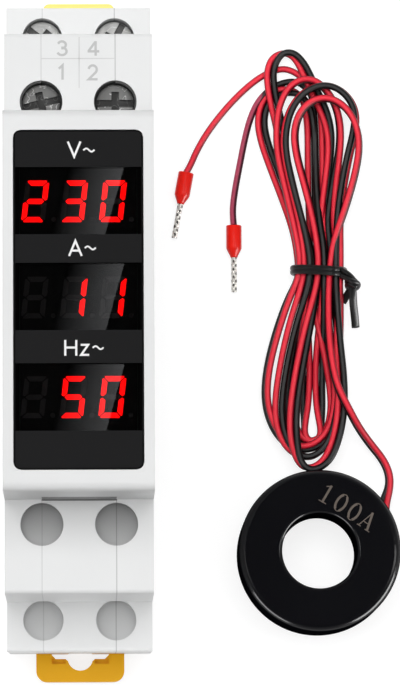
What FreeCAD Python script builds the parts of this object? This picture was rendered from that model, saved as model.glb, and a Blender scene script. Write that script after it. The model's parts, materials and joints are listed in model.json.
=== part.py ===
"""DIN rail ammeter, one 18 mm module, with its ring current transformer on a tied hank of cable.

The meter lies on its back. X runs across the module, Y towards the end with terminals 1 to 4 and
Z out of the front. The origin is the middle of the face that seats on the rail; millimetres.
"""
import FreeCAD, Part
import Sketcher
import math
import os

from FreeCAD import Placement, Rotation, Vector

SIZES = [
    # Housing
    ("module_width", 18.0, "width of one module"),
    ("seam_offset", 4.5, "seams and terminal axes, either side of the middle"),
    ("wall", 1.2, "moulded wall"),
    ("rail_slot", 35.2, "slot for the 35 mm rail"),
    ("back_depth", 5.5, "from the rail seat to the back"),
    ("lower_level", 25.5, "height of the outer terminal level"),
    ("upper_level", 45.0, "height of the inner terminal level"),
    ("front_height", 60.5, "height of the front"),
    ("lower_half", 40.2, "half length at the outer level"),
    ("upper_half", 34.05, "half length at the inner level"),
    ("front_half", 22.7, "half length of the front part"),
    ("end_lean", 1.0, "how far the end walls lean in at the back"),
    ("edge_round", 0.5, "round along the ends of the two levels"),
    ("frame_step", 4.5, "height of the centre frame that shows below the bezel"),
    ("joint_gap", 0.05, "gap between seated pieces"),
    ("web", 1.2, "partition between the terminals"),
    # Rivets
    ("rivet_radius", 1.0, "case rivet"),
    ("rivet_head", 1.8, "radius of the rivet's head"),
    ("rivet_head_height", 0.6, "height of the rivet's head"),
    ("rivet_upper_place", 31.3, "upper rivets along Y"),
    ("rivet_upper_height", 42.7, "upper rivets above the seat"),
    ("rivet_lower_place", 36.2, "lower rivets along Y"),
    ("rivet_lower_height", 3.2, "lower rivets above the seat"),
    ("boss_radius", 2.2, "boss round a lower rivet"),
    # Bezel and display
    ("bezel_round", 1.0, "round along the ends of the front"),
    ("ledge_thick", 1.0, "ledge that carries the light mask"),
    ("ledge_wide", 0.65, "how far the ledge reaches in"),
    ("pane_width", 15.4, "display pane"),
    ("pane_length", 40.4, "display pane"),
    ("pane_thick", 1.2, "display pane"),
    ("pane_corner", 0.75, "corner of the pane"),
    ("film_thick", 0.15, "printed film on the pane"),
    ("mask_thick", 0.8, "light mask behind the pane"),
    ("window_height", 8.03, "one window of the film"),
    ("volt_middle", 11.77, "middle of the volt window"),
    ("amp_middle", 0.35, "middle of the ampere window"),
    ("hertz_middle", -11.6, "middle of the hertz window"),
    ("digit_height", 5.03, "digit"),
    ("digit_width", 2.95, "digit"),
    ("digit_pitch", 4.63, "digit to digit"),
    ("digit_shift", -0.52, "middle digit, across"),
    ("stroke", 0.68, "segment of a digit"),
    ("segment_gap", 0.12, "between two segments"),
    ("segment_thick", 0.08, "segment above the module's face"),
    ("digit_lean", 8.0, "lean of the digits in degrees"),
    ("module_face_width", 13.9, "display module"),
    ("module_face_height", 7.8, "display module"),
    ("module_depth", 6.8, "display module"),
    ("board_thick", 1.2, "display board"),
    # Terminals
    ("upper_screw_inset", 3.0, "inner screws, from the front part"),
    ("lower_screw_inset", 3.85, "outer screws, from the end of the case"),
    ("upper_well", 2.6, "radius of the inner wells"),
    ("well_lip", 0.2, "step in the shells' half of an inner well"),
    ("lip_depth", 0.5, "depth of that step"),
    ("lower_well", 2.5, "radius of the outer wells"),
    ("blank_depth", 1.6, "depth of the blank wells"),
    ("head_drop", 1.6, "screw head below the level"),
    ("head_radius", 2.05, "screw head"),
    ("head_height", 1.6, "screw head"),
    ("shank_radius", 1.25, "screw shank"),
    ("shank_length", 7.4, "screw shank"),
    ("shoulder", 0.8, "moulded shoulder under the screw head"),
    ("running_gap", 0.05, "screw shank in its clamp"),
    ("slot_width", 0.65, "driver slot"),
    ("slot_depth", 0.7, "driver slot"),
    ("clamp_travel", 2.4, "rise of a clamp"),
    ("clamp_half_width", 2.55, "clamp across"),
    ("clamp_half_depth", 1.9, "clamp along Y"),
    ("clamp_plate", 1.5, "threaded plate of a clamp"),
    ("clamp_side", 0.8, "side and floor of a clamp"),
    ("contact_width", 3.2, "contact bar"),
    ("contact_thick", 1.0, "contact bar"),
    ("contact_reach", 6.5, "contact bar, inwards from its screw"),
    ("entry_radius", 1.8, "wire entry"),
    ("entry_mouth", 2.4, "mouth of a wire entry"),
    # Boards
    ("main_thick", 1.6, "main board"),
    ("main_lower_half", 32.0, "main board, lower part"),
    ("main_upper_half", 21.6, "main board, upper part"),
    ("main_shelf", 22.6, "height where the main board narrows"),
    ("header_width", 2.5, "pin header between the boards"),
    ("header_length", 20.0, "pin header between the boards"),
    ("header_overlap", 5.0, "pin header below the top of the main board"),
    ("film_capacitor_depth", 6.0, "dropper capacitor off the board"),
    ("chip_depth", 1.6, "chips off the board"),
    ("can_radius", 3.15, "smoothing capacitor"),
    ("can_length", 11.0, "smoothing capacitor"),
    ("can_place", 6.0, "near end of the smoothing capacitor along Y"),
    ("can_height", 10.0, "smoothing capacitor above the seat"),
    ("varistor_radius", 3.5, "varistor"),
    ("varistor_thick", 4.0, "varistor"),
    ("varistor_place", 24.0, "varistor along Y"),
    ("varistor_height", 9.0, "varistor above the seat"),
    ("resistor_radius", 1.25, "burden resistor"),
    ("resistor_length", 7.0, "burden resistor"),
    ("resistor_place", -22.0, "near end of the burden resistor along Y"),
    ("resistor_height", 9.0, "burden resistor above the seat"),
    # Clips
    ("clip_wide", 11.3, "rail clip"),
    ("clip_narrow", 9.2, "tab of the upper clip"),
    ("clip_thick", 2.0, "rail clip"),
    ("clip_rise", 0.95, "clip above the back"),
    ("clip_gap", 0.12, "clip in its channel"),
    ("clip_travel", 2.5, "travel of a clip"),
    ("clip_corner", 1.4, "corner of the lower clip"),
    ("tab_corner", 0.8, "corner of the upper clip's tab"),
    ("rail_flange", 1.0, "thickness of the rail"),
    ("nose_reach", 1.3, "nose of a clip beyond the slot's wall"),
    ("nose_half", 4.0, "half width of a nose"),
    ("nose_slope", 0.5, "lead-in of a nose"),
    ("lower_tab", 42.92, "end of the lower clip"),
    ("upper_tab", 44.9, "end of the upper clip"),
    ("window_half", 3.66, "half width of the clip's window"),
    ("window_top", 39.3, "inner edge of the clip's window"),
    ("window_base", 39.95, "outer edge of the clip's window"),
    ("window_bevel", 0.5, "outer corners of the clip's window"),
    ("notch_radius", 1.62, "round notch of the clip's window"),
    ("notch_flare", 0.27, "how far the notch opens on each side at its mouth"),
    ("notch_inset", 0.1, "middle of the notch inside the window's outer edge"),
    ("recess_length", 1.8, "recess beside the notch, along its edge"),
    ("recess_width", 0.65, "recess beside the notch, across its edge"),
    ("recess_depth", 0.6, "recess beside the notch"),
    # Current transformer
    ("ring_x", 30.56, "middle of the ring"),
    ("ring_y", -26.62, "middle of the ring"),
    ("ring_radius", 10.35, "outer radius of the ring"),
    ("bore_radius", 4.8, "bore of the ring"),
    ("ring_thick", 11.0, "ring"),
    ("ring_wall", 1.2, "outer wall of the ring"),
    ("bore_wall", 0.9, "bore wall of the ring"),
    ("ring_round", 0.9, "outer round of the ring"),
    ("bore_round", 0.45, "round of the bore"),
    ("cover_thick", 1.0, "bottom cover of the ring"),
    ("winding_thick", 0.5, "winding over the core"),
    ("core_gap", 0.4, "round the winding"),
    ("red_hole_across", 8.85, "hole for the red wire, from the ring's middle along X"),
    ("red_hole_height", 2.35, "hole for the red wire above the table"),
    ("black_hole_across", 8.3, "hole for the black wire, from the ring's middle along X"),
    ("black_hole_height", 1.4, "hole for the black wire above the table"),
    # Cable
    ("wire", 0.85, "diameter of a wire"),
    ("table_gap", 0.02, "cable above the table"),
    ("hole_gap", 0.1, "round a wire in its hole"),
    ("hole_depth", 1.0, "wire in the ring's wall"),
    ("hank_x", 31.3, "middle of the hank's waist"),
    ("waist_y", 10.7, "middle of the hank's waist"),
    ("waist_half", 1.6, "half of the straight waist under the tie"),
    ("slot_step", 1.0, "strand to strand"),
    ("waist_open", 0.66, "first strand from the middle of the waist"),
    ("layer_rise", 1.3, "layer to layer"),
    ("lobe_lift", 0.8, "further rise of the third layer's round ends, over the second layer"),
    ("tie_thick", 0.45, "tie"),
    ("tie_width", 0.7, "one band of the tie"),
    ("tie_place", -0.54, "middle of the tie, from the middle of the waist"),
    ("tie_pitch", 0.8, "band to band"),
    ("knot_start", 2.7, "knot, from the middle of the waist along X"),
    ("knot_width", 2.2, "knot of the tie"),
    ("knot_length", 1.9, "knot of the tie"),
    ("knot_height", 1.3, "knot of the tie"),
    ("tail_length", 4.7, "long end of the tie"),
    ("stub_length", 1.7, "short end of the tie"),
    ("end_width", 1.0, "end of the tie"),
    ("end_thick", 0.4, "end of the tie"),
    ("ferrule_radius", 1.0, "collar of a ferrule"),
    ("ferrule_sleeve", 3.05, "straight part of the collar"),
    ("ferrule_cone", 1.15, "tapered part of the collar"),
    ("ferrule_tip", 0.42, "small end of the collar"),
    ("pin_radius", 0.35, "pin of a ferrule"),
    ("pin_length", 4.7, "pin of a ferrule"),
]

# Routes of the free cable, chosen by hand, in millimetres; each runs away from the hank.
RED_TAIL = [(26.6, 38.5, -4.9), (23.9, 36.9, -4.95), (21.2, 34.2, -4.95), (18.6, 31.0, -5.0),
            (16.5, 28.1, -4.9)]
BLACK_TAIL = [(26.4, 37.2, -4.9), (23.6, 35.2, -4.95), (22.3, 31.6, -5.0), (21.4, 27.6, -5.0),
              (20.6, 23.6, -4.95), (20.0, 20.4, -4.8)]
RED_LEAD = [(32.96, 6.0, -1.6), (33.3, 2.6, -0.9), (34.5, -1.4, -0.4), (36.2, -5.2, -0.3),
            (37.8, -9.3, -0.7), (39.0, -13.4, -1.9)]
BLACK_LEAD = [(31.96, 6.0, -1.6), (32.25, 2.3, -0.9), (33.4, -1.9, -0.4), (35.1, -5.7, -0.25),
              (36.8, -9.9, -0.25), (38.0, -13.8, -2.0)]

doc = FreeCAD.newDocument("rail_ammeter")
sheet = doc.addObject("Spreadsheet::Sheet", "Sizes")
for row, (name, number, meaning) in enumerate(SIZES, start=1):
    sheet.set(f"A{row}", meaning)
    sheet.set(f"B{row}", str(number))
    sheet.setAlias(f"B{row}", name)
doc.recompute()


class Size:
    """A size with the expression that reads it from the sheet."""

    def __init__(self, text, number):
        self.text = text
        self.number = number

    def join(self, sign, other, number):
        return Size(f"({self.text} {sign} {other.text})", number)

    def __add__(self, other):
        other = as_size(other)
        return self.join("+", other, self.number + other.number)

    def __sub__(self, other):
        other = as_size(other)
        return self.join("-", other, self.number - other.number)

    def __mul__(self, other):
        other = as_size(other)
        return self.join("*", other, self.number * other.number)

    def __truediv__(self, other):
        other = as_size(other)
        return self.join("/", other, self.number / other.number)

    def __radd__(self, other):
        return as_size(other) + self

    def __rsub__(self, other):
        return as_size(other) - self

    def __rmul__(self, other):
        return as_size(other) * self

    def __neg__(self):
        return self * -1

    def __float__(self):
        return float(self.number)


def as_size(value):
    return value if isinstance(value, Size) else Size(f"({value})", value)


class Sheet:
    """The sheet's values by name."""


d = Sheet()
for name, number, meaning in SIZES:
    setattr(d, name, Size(f"Sizes.{name}", float(sheet.get(name))))

NODES = []


def node(label, thing):
    """Names a finished sub-part."""
    thing.Label = label
    NODES.append(thing)
    return thing


def link(thing, prop, value):
    thing.setExpression(prop, as_size(value).text)


def put(thing, x=0, y=0, z=0):
    """Binds the place of an object to the sheet."""
    for axis, value in zip("xyz", (x, y, z)):
        link(thing, ".Placement.Base." + axis, value)
    return thing


def box(x, y, z):
    """A block between a low and a high value along each axis."""
    made = doc.addObject("Part::Box", "block")
    for prop, (low, high) in zip(("Length", "Width", "Height"), (x, y, z)):
        link(made, prop, as_size(high) - low)
    return put(made, x[0], y[0], z[0])


TURNS = {"x": Rotation(Vector(0, 1, 0), 90), "y": Rotation(Vector(1, 0, 0), -90), "z": Rotation()}


def cylinder(radius, length, at, axis="z"):
    """A round bar that starts at a point and runs along an axis."""
    made = doc.addObject("Part::Cylinder", "bar")
    made.Placement = Placement(Vector(), TURNS[axis])
    link(made, "Radius", radius)
    link(made, "Height", length)
    return put(made, *at)


def cone(start, end, length, at, axis="z"):
    made = doc.addObject("Part::Cone", "cone")
    made.Placement = Placement(Vector(), TURNS[axis])
    link(made, "Radius1", start)
    link(made, "Radius2", end)
    link(made, "Height", length)
    return put(made, *at)


def fuse(*pieces):
    made = doc.addObject("Part::MultiFuse", "joined")
    made.Shapes = list(pieces)
    return made


def group(*pieces):
    """Separate solids that share one node."""
    made = doc.addObject("Part::Compound", "group")
    made.Links = list(pieces)
    return made


def cut(base, *tools):
    made = doc.addObject("Part::Cut", "cut")
    made.Base = base
    made.Tool = tools[0] if len(tools) == 1 else group(*tools)
    return made


def new_body(name):
    return doc.addObject("PartDesign::Body", name)


def sketch(body, plane, height=0):
    """A sketch on one of the body's own origin planes, moved along its normal."""
    made = body.newObject("Sketcher::SketchObject", "outline")
    support = next(f for f in body.Origin.OriginFeatures if f.Role == plane)
    made.AttachmentSupport = [(support, "")]
    made.MapMode = "FlatFace"
    link(made, ".AttachmentOffset.Base.z", height)
    return made


def bind(made, kind, where, value):
    index = made.addConstraint(Sketcher.Constraint(kind, *where, float(as_size(value))))
    link(made, f"Constraints[{index}]", value)


def polygon(made, points):
    """A closed outline through points, each bound to the sheet."""
    first = made.GeometryCount
    count = len(points)
    flat = [Vector(float(as_size(u)), float(as_size(v)), 0) for u, v in points]
    for i in range(count):
        made.addGeometry(Part.LineSegment(flat[i], flat[(i + 1) % count]))
    for i in range(count):
        made.addConstraint(Sketcher.Constraint("Coincident", first + i, 2, first + (i + 1) % count, 1))
    for i, (u, v) in enumerate(points):
        bind(made, "DistanceX", (-1, 1, first + i, 1), u)
        bind(made, "DistanceY", (-1, 1, first + i, 1), v)
    return made


def rectangle(made, x, y):
    return polygon(made, [(x[0], y[0]), (x[1], y[0]), (x[1], y[1]), (x[0], y[1])])


def disc(made, x, y, radius):
    middle = Vector(float(as_size(x)), float(as_size(y)), 0)
    index = made.addGeometry(Part.Circle(middle, Vector(0, 0, 1), float(as_size(radius))))
    bind(made, "DistanceX", (-1, 1, index, 3), x)
    bind(made, "DistanceY", (-1, 1, index, 3), y)
    bind(made, "Radius", (index,), radius)
    return made


def pad(body, outline, length, back=False):
    """Adds the outline's solid, along its normal or back."""
    made = body.newObject("PartDesign::Pad", "pad")
    made.Profile = outline
    made.Reversed = back
    link(made, "Length", length)
    return made


def pocket(body, outline, depth, ahead=False):
    """Cuts the outline, against its normal or ahead, and tests that it cut something."""
    doc.recompute()
    before = body.Shape.Volume
    made = body.newObject("PartDesign::Pocket", "pocket")
    made.Profile = outline
    made.Reversed = ahead
    link(made, "Length", depth)
    doc.recompute()
    if body.Shape.Volume >= before:
        raise ValueError(f"{body.Name}: a pocket cuts nothing")
    return made


def dress(body, kind, size, chosen):
    """Fillet or chamfer on the edges of the body that a test picks by their middle and box."""
    doc.recompute()
    base = body.Tip
    names = [f"Edge{i}" for i, edge in enumerate(base.Shape.Edges, start=1)
             if chosen(edge.BoundBox, edge)]
    if not names:
        raise ValueError(f"{body.Name}: no edge to dress")
    made = body.newObject("PartDesign::" + kind, kind.lower())
    made.Base = (base, names)
    link(made, "Radius" if kind == "Fillet" else "Size", size)
    return made


def near(value, wanted):
    return abs(value - float(wanted)) < 1e-4


def solid(label, shape):
    """A sub-part whose shape comes from its own formula."""
    made = doc.addObject("Part::Feature", label)
    made.Shape = shape
    return made


# Driving values that several pieces share

half_width = d.module_width / 2
rail_half = d.rail_slot / 2
floor_top = d.wall
deck = d.head_drop + d.head_height + d.shoulder
fit_gap = d.joint_gap * 4
LEVELS = {
    "upper": (d.front_half + d.upper_screw_inset, d.upper_level, d.upper_well),
    "lower": (d.lower_half - d.lower_screw_inset, d.lower_level, d.lower_well),
}
pane_seat = d.front_height - d.film_thick - d.pane_thick
mask_seat = pane_seat - d.joint_gap * 2 - d.mask_thick
module_face = pane_seat - d.segment_thick - d.joint_gap
board_top = module_face - d.module_depth
board_seat = board_top - d.board_thick - d.joint_gap


def seat_of(level):
    """Height of the shoulder that the screw's head turns on."""
    return level - d.head_drop - d.head_height


def clamp_floor(level):
    """Top of the open clamp's floor."""
    return seat_of(level) - d.shank_length - d.running_gap * 2 - d.contact_thick \
        - d.clamp_travel - d.running_gap * 2


def entry_height(level):
    return clamp_floor(level) + d.clamp_travel / 2


# Housing


def mirrored(points):
    """The points of one end, and the same points at the other end."""
    return points + [(-y, z) for y, z in reversed(points)]


def case_outline():
    return mirrored([
        (rail_half, 0),
        (rail_half, -d.back_depth),
        (d.lower_half - d.end_lean, -d.back_depth),
        (d.lower_half, d.lower_level),
        (d.upper_half, d.lower_level),
        (d.upper_half, d.upper_level),
    ])


def case_hollow(opening):
    return mirrored([
        (d.lower_half - d.end_lean - d.wall, floor_top),
        (d.lower_half - d.wall, d.lower_level - deck),
        (d.upper_half - d.wall, d.lower_level - deck),
        (d.upper_half - d.wall, d.upper_level - deck),
        (opening, d.upper_level - deck),
        (opening, d.front_height),
    ])


def well_tools(stepped):
    """Screw wells at one end, blank wells at the other, and the wire entries."""
    tools = []
    for side in (-1, 1):
        x = d.seam_offset * side
        for key, (place, level, radius) in LEVELS.items():
            seat = seat_of(level)
            below = d.shoulder * 2
            if stepped and key == "upper":
                tools.append(cylinder(radius, d.lip_depth + 1, (x, place, level - d.lip_depth)))
                tools.append(cylinder(radius - d.well_lip, level - seat, (x, place, seat)))
            else:
                tools.append(cylinder(radius, level - seat + 1, (x, place, seat)))
            tools.append(cylinder(d.shank_radius + fit_gap, below, (x, place, seat - below)))
            tools.append(cylinder(radius, d.blank_depth + 1, (x, -place, level - d.blank_depth)))
        for half, level in ((d.upper_half, d.upper_level), (d.lower_half, d.lower_level)):
            z = entry_height(level)
            start = half - d.wall * 2
            tools.append(cylinder(d.entry_radius, d.wall * 3, (x, start, z), "y"))
            tools.append(cone(d.entry_radius, d.entry_mouth, d.wall, (x, half - d.wall, z), "y"))
    return tools


def rivet_places():
    for side in (-1, 1):
        yield d.rivet_upper_place * side, d.rivet_upper_height
        yield d.rivet_lower_place * side, d.rivet_lower_height


def rivet_tools():
    """Rivet holes through the case, with a sunk seat for each head."""
    tools = []
    sunk = d.rivet_head_height + d.joint_gap
    for y, z in rivet_places():
        tools.append(cylinder(d.rivet_radius + d.joint_gap, d.module_width, (-half_width, y, z), "x"))
        for start in (-half_width, half_width - sunk):
            tools.append(cylinder(d.rivet_head + d.joint_gap * 2, sunk, (start, y, z), "x"))
    return tools


clip_low = d.clip_rise - d.back_depth
clip_high = clip_low + d.clip_thick
flange_back = -d.rail_flange
nose_top = flange_back - d.clip_gap


def clip_tools():
    """Channels in the back for the two clips; the shells keep a lip under each clip."""
    half = d.clip_wide / 2 + d.clip_gap
    low, high = clip_low - d.clip_gap, clip_high + d.clip_gap
    inner_end = rail_half + d.clip_travel + d.wall * 2
    stop = d.lower_half - d.end_lean - d.wall * 2
    tools = []
    tools.append(box((-half, half), (-d.lower_half - 1, -rail_half + 1), (low, high)))
    tools.append(box((-half, half), (rail_half - 1, stop), (low, high)))
    narrow = d.clip_narrow / 2 + d.clip_gap
    tools.append(box((-narrow, narrow), (stop - 1, d.lower_half + 1), (low, high)))
    hollow = d.seam_offset
    for side in (-1, 1):
        ends = sorted((rail_half * side, (d.lower_half + 1) * side), key=float)
        tools.append(box((-hollow, hollow), ends, (-d.back_depth - 1, high)))
        ends = sorted(((rail_half - 1) * side, inner_end * side), key=float)
        tools.append(box((-d.nose_half - d.clip_gap * 2, d.nose_half + d.clip_gap * 2), ends,
                         (high - 1, nose_top + d.clip_gap)))
    return tools


WELLS = group(*well_tools(False))
STEPPED_WELLS = group(*well_tools(True))
RIVET_HOLES = group(*rivet_tools())
CLIP_CHANNELS = group(*clip_tools())


def round_levels(body):
    """Rounds the outer edge of each level at both ends."""
    edges = [(float(half), float(level)) for half, level in
             ((d.upper_half, d.upper_level), (d.lower_half, d.lower_level))]
    dress(body, "Fillet", d.edge_round,
          lambda b, e: b.YLength < 1e-4 and any(near(abs(b.YMin), half) and near(b.ZMin, level)
                                                and near(b.ZMax, level) for half, level in edges))


def shell(side):
    """One outer shell: side wall, floor, end walls and decks, open at the seam."""
    body = new_body("side")
    start = d.seam_offset * side
    depth = half_width - d.seam_offset
    pad(body, polygon(sketch(body, "YZ_Plane", start), case_outline()), depth, side < 0)
    round_levels(body)
    hollow = polygon(sketch(body, "YZ_Plane", start), case_hollow(d.front_half - d.wall))
    pocket(body, hollow, depth - d.wall, side > 0)
    bosses = sketch(body, "YZ_Plane", start)
    for end in (-1, 1):
        disc(bosses, d.rivet_lower_place * end, d.rivet_lower_height, d.boss_radius)
    pad(body, bosses, depth - d.wall / 2, side < 0)
    case = cut(cut(cut(body, STEPPED_WELLS), RIVET_HOLES), CLIP_CHANNELS)
    return node("left_shell" if side < 0 else "right_shell", case)


def centre_frame():
    """The middle frame: walls and decks between the seams, and the partition of the terminals."""
    body = new_body("frame")
    left = -d.seam_offset
    width = d.seam_offset * 2
    step = d.upper_level + d.frame_step - d.joint_gap
    inside = d.front_half - d.wall - fit_gap
    opening = d.main_upper_half - d.wall
    outline = mirrored([
        (rail_half, 0),
        (rail_half, -d.back_depth),
        (d.lower_half - d.end_lean, -d.back_depth),
        (d.lower_half, d.lower_level),
        (d.upper_half, d.lower_level),
        (d.upper_half, d.upper_level),
        (d.front_half, d.upper_level),
        (d.front_half, step),
        (inside, step),
        (inside, board_seat),
        (opening, board_seat),
        (opening, d.upper_level - deck),
    ])
    pad(body, polygon(sketch(body, "YZ_Plane", left), outline), width)
    round_levels(body)
    hollow = case_hollow(opening)[:5]
    hollow[-1] = (opening - 1, d.upper_level - deck)
    hollow = polygon(sketch(body, "YZ_Plane", left), mirrored(hollow))
    pocket(body, hollow, width, True)
    inner = d.main_upper_half + fit_gap
    outer = d.main_lower_half + fit_gap
    partition = polygon(sketch(body, "YZ_Plane", -d.web / 2), [
        (inner, d.main_shelf + fit_gap),
        (outer, d.main_shelf + fit_gap),
        (outer, floor_top / 2),
        (d.lower_half - d.end_lean - d.wall / 2, floor_top / 2),
        (d.lower_half - d.wall / 2, d.lower_level - d.wall),
        (d.upper_half - d.wall / 2, d.lower_level - d.wall),
        (d.upper_half - d.wall / 2, d.upper_level - d.wall),
        (inner, d.upper_level - d.wall),
    ])
    pad(body, partition, d.web)
    bosses = sketch(body, "YZ_Plane", left)
    for end in (-1, 1):
        disc(bosses, d.rivet_lower_place * end, d.rivet_lower_height, d.boss_radius)
    pad(body, bosses, width)
    frame = cut(cut(cut(body, WELLS), RIVET_HOLES), CLIP_CHANNELS)
    return node("centre_frame", frame)


def front_bezel():
    """The cap over the front: recess for the pane, ledge for the mask, open at the back."""
    body = new_body("bezel")
    width = (-half_width, half_width)
    length = (-d.front_half, d.front_half)
    pad(body, rectangle(sketch(body, "XY_Plane", d.upper_level), width, length),
        d.front_height - d.upper_level)
    top = float(d.front_height)
    dress(body, "Fillet", d.bezel_round,
          lambda b, e: near(b.ZMin, top) and near(b.ZMax, top) and b.YLength < 1e-4)
    inner_x = half_width - d.wall
    inner_y = d.front_half - d.wall
    ledge = mask_seat - d.ledge_thick
    pocket(body, rectangle(sketch(body, "XY_Plane", d.upper_level), (-inner_x, inner_x),
                           (-inner_y, inner_y)), ledge - d.upper_level, True)
    pane_x = d.pane_width / 2 + d.joint_gap
    pane_y = d.pane_length / 2 + d.joint_gap
    pocket(body, rectangle(sketch(body, "XY_Plane", d.front_height), (-pane_x, pane_x),
                           (-pane_y, pane_y)), d.front_height - mask_seat)
    open_x = pane_x - d.ledge_wide
    open_y = pane_y - d.ledge_wide
    pocket(body, rectangle(sketch(body, "XY_Plane", d.front_height), (-open_x, open_x),
                           (-open_y, open_y)), d.front_height - d.upper_level)
    step = sketch(body, "XZ_Plane", -d.front_half)
    rectangle(step, (-d.seam_offset, d.seam_offset),
              (d.upper_level - 1, d.upper_level + d.frame_step))
    pocket(body, step, d.front_half * 2, True)
    return node("front_bezel", body)


WINDOWS = {"volt": d.volt_middle, "amp": d.amp_middle, "hertz": d.hertz_middle}


def plate_with_windows(name, thick, low, half_height, half_width_open, rounded):
    """A plate of the pane's size with one opening for each reading."""
    body = new_body(name)
    half_x, half_y = d.pane_width / 2, d.pane_length / 2
    pad(body, rectangle(sketch(body, "XY_Plane", low), (-half_x, half_x), (-half_y, half_y)), thick)
    if rounded:
        dress(body, "Fillet", d.pane_corner, lambda b, e: b.ZLength > float(thick) * 0.9)
    if half_height is not None:
        openings = sketch(body, "XY_Plane", low)
        for middle in WINDOWS.values():
            rectangle(openings, (-half_width_open, half_width_open),
                      (middle - half_height, middle + half_height))
        pocket(body, openings, thick, True)
    return body


def display_stack():
    pane = plate_with_windows("pane", d.pane_thick, pane_seat, None, None, True)
    node("display_pane", pane)
    film = plate_with_windows("film", d.film_thick, pane_seat + d.pane_thick,
                              d.window_height / 2, d.pane_width / 2 - d.segment_gap, True)
    node("front_film", film)
    mask = plate_with_windows("mask", d.mask_thick, mask_seat,
                              d.module_face_height / 2 + d.joint_gap,
                              d.module_face_width / 2 + d.joint_gap, False)
    node("light_mask", mask)
    half_x = d.module_face_width / 2
    half_y = d.module_face_height / 2
    for name, middle in WINDOWS.items():
        node(name + "_display", box((-half_x, half_x), (middle - half_y, middle + half_y),
                                    (board_top, module_face)))


DIGITS = {"0": "abcdef", "1": "bc", "2": "abged", "3": "abgcd", "4": "fgbc", "5": "afgcd",
          "6": "afgecd", "7": "abc", "8": "abcdefg", "9": "abcdfg", ".": "", " ": ""}
READINGS = {"volt": "230", "amp": " 11", "hertz": " 50"}


def bar_shape(start, end, half, thick, lean):
    """One six-sided segment between two points, leaned about the middle of its digit."""
    along = (end - start).normalize()
    across = Vector(-along.y, along.x, 0)
    points = [start, start + (along + across) * half, end - (along - across) * half,
              end, end - (along + across) * half, start + (along - across) * half]
    leaned = [Vector(p.x + p.y * lean, p.y, 0) for p in points]
    wire = Part.makePolygon(leaned + [leaned[0]])
    return Part.Face(wire).extrude(Vector(0, 0, thick))


def digit_bars():
    """The seven segments and the point of one digit about its own middle."""
    half = float(d.stroke) / 2
    gap = float(d.segment_gap) / 2
    right = float(d.digit_width) / 2 - half
    top = float(d.digit_height) / 2 - half
    thick = float(d.segment_thick)
    lean = math.tan(math.radians(float(d.digit_lean)))
    corner = {"tl": (-right, top), "tr": (right, top), "ml": (-right, 0), "mr": (right, 0),
              "bl": (-right, -top), "br": (right, -top)}
    ends = {"a": "tl tr", "b": "tr mr", "c": "mr br", "d": "bl br", "e": "ml bl", "f": "tl ml",
            "g": "ml mr"}
    bars = {}
    for letter, pair in ends.items():
        start, end = (Vector(*corner[key], 0) for key in pair.split())
        along = (end - start).normalize()
        bars[letter] = bar_shape(start + along * gap, end - along * gap, half - gap / 2, thick, lean)
    dot = Part.makeCylinder(half, thick, Vector(right + float(d.stroke) * 1.4 - top * lean, -top, 0))
    bars["dot"] = dot
    return bars


def segments():
    bars = digit_bars()
    for name, text in READINGS.items():
        lit, unlit = [], []
        for place, letter in enumerate(text):
            x = float(d.digit_shift + d.digit_pitch * (place - 1))
            for key, bar in bars.items():
                moved = bar.translated(Vector(x, float(WINDOWS[name]), float(module_face)))
                (lit if key in DIGITS[letter] else unlit).append(moved)
        node(name + "_lit_segments", solid(name + "_lit", Part.makeCompound(lit)))
        node(name + "_unlit_segments", solid(name + "_unlit", Part.makeCompound(unlit)))


def rivets():
    pins = []
    head = d.rivet_head_height
    for y, z in rivet_places():
        shank = cylinder(d.rivet_radius, d.module_width - head, (-half_width + head / 2, y, z), "x")
        heads = [cylinder(d.rivet_head, head, (x, y, z), "x")
                 for x in (-half_width, half_width - head)]
        pins.append(fuse(shank, *heads))
    node("case_rivets", group(*pins))


# Terminals


def screw(name, x, place, level, turn):
    """Combination head with a slot and a cross, on a plain shank."""
    seat = seat_of(level) + d.joint_gap
    head = cylinder(d.head_radius, d.head_height, (x, place, seat))
    shank = cylinder(d.shank_radius, d.shank_length, (x, place, seat - d.shank_length))
    rounded = doc.addObject("Part::Chamfer", "rim")
    doc.recompute()
    rim = [i for i, e in enumerate(head.Shape.Edges, start=1)
           if near(e.BoundBox.ZMin, seat + d.head_height) and e.BoundBox.ZLength < 1e-6
           and len(e.Vertexes) == 1]
    rounded.Base = head
    bevel = float(d.slot_depth) / 4
    rounded.Edges = [(i, bevel, bevel) for i in rim]
    tools = []
    for reach, width, angle in ((d.head_radius + 1, d.slot_width, turn),
                                (d.head_radius * 0.62, d.slot_width, turn + 90)):
        tool = doc.addObject("Part::Box", "slot")
        link(tool, "Length", width)
        link(tool, "Width", reach * 2)
        link(tool, "Height", d.slot_depth + 1)
        spin = math.radians(angle)
        tool.Placement = Placement(Vector(), Rotation(Vector(0, 0, 1), angle))
        put(tool, x - width / 2 * math.cos(spin) + reach * math.sin(spin),
            place - width / 2 * math.sin(spin) - reach * math.cos(spin),
            seat + d.head_height - d.slot_depth)
        tools.append(tool)
    return node(name, cut(fuse(rounded, shank), *tools))


def clamp(name, x, place, level):
    """Rising cage: threaded plate, two sides and a floor that pulls the wire up to the bar."""
    seat = seat_of(level)
    floor = clamp_floor(level)
    low = floor - d.clamp_side
    top = seat - d.shoulder - d.running_gap * 3 - d.clamp_travel
    wide, deep = d.clamp_half_width, d.clamp_half_depth
    cage = box((x - wide, x + wide), (place - deep, place + deep), (low, top))
    inner = wide - d.clamp_side
    window = box((x - inner, x + inner), (place - deep - 1, place + deep + 1),
                 (floor, top - d.clamp_plate))
    bore = cylinder(d.shank_radius + d.running_gap, d.clamp_plate + 2,
                    (x, place, top - d.clamp_plate - 1))
    return node(name, cut(cage, window, bore))


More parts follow.
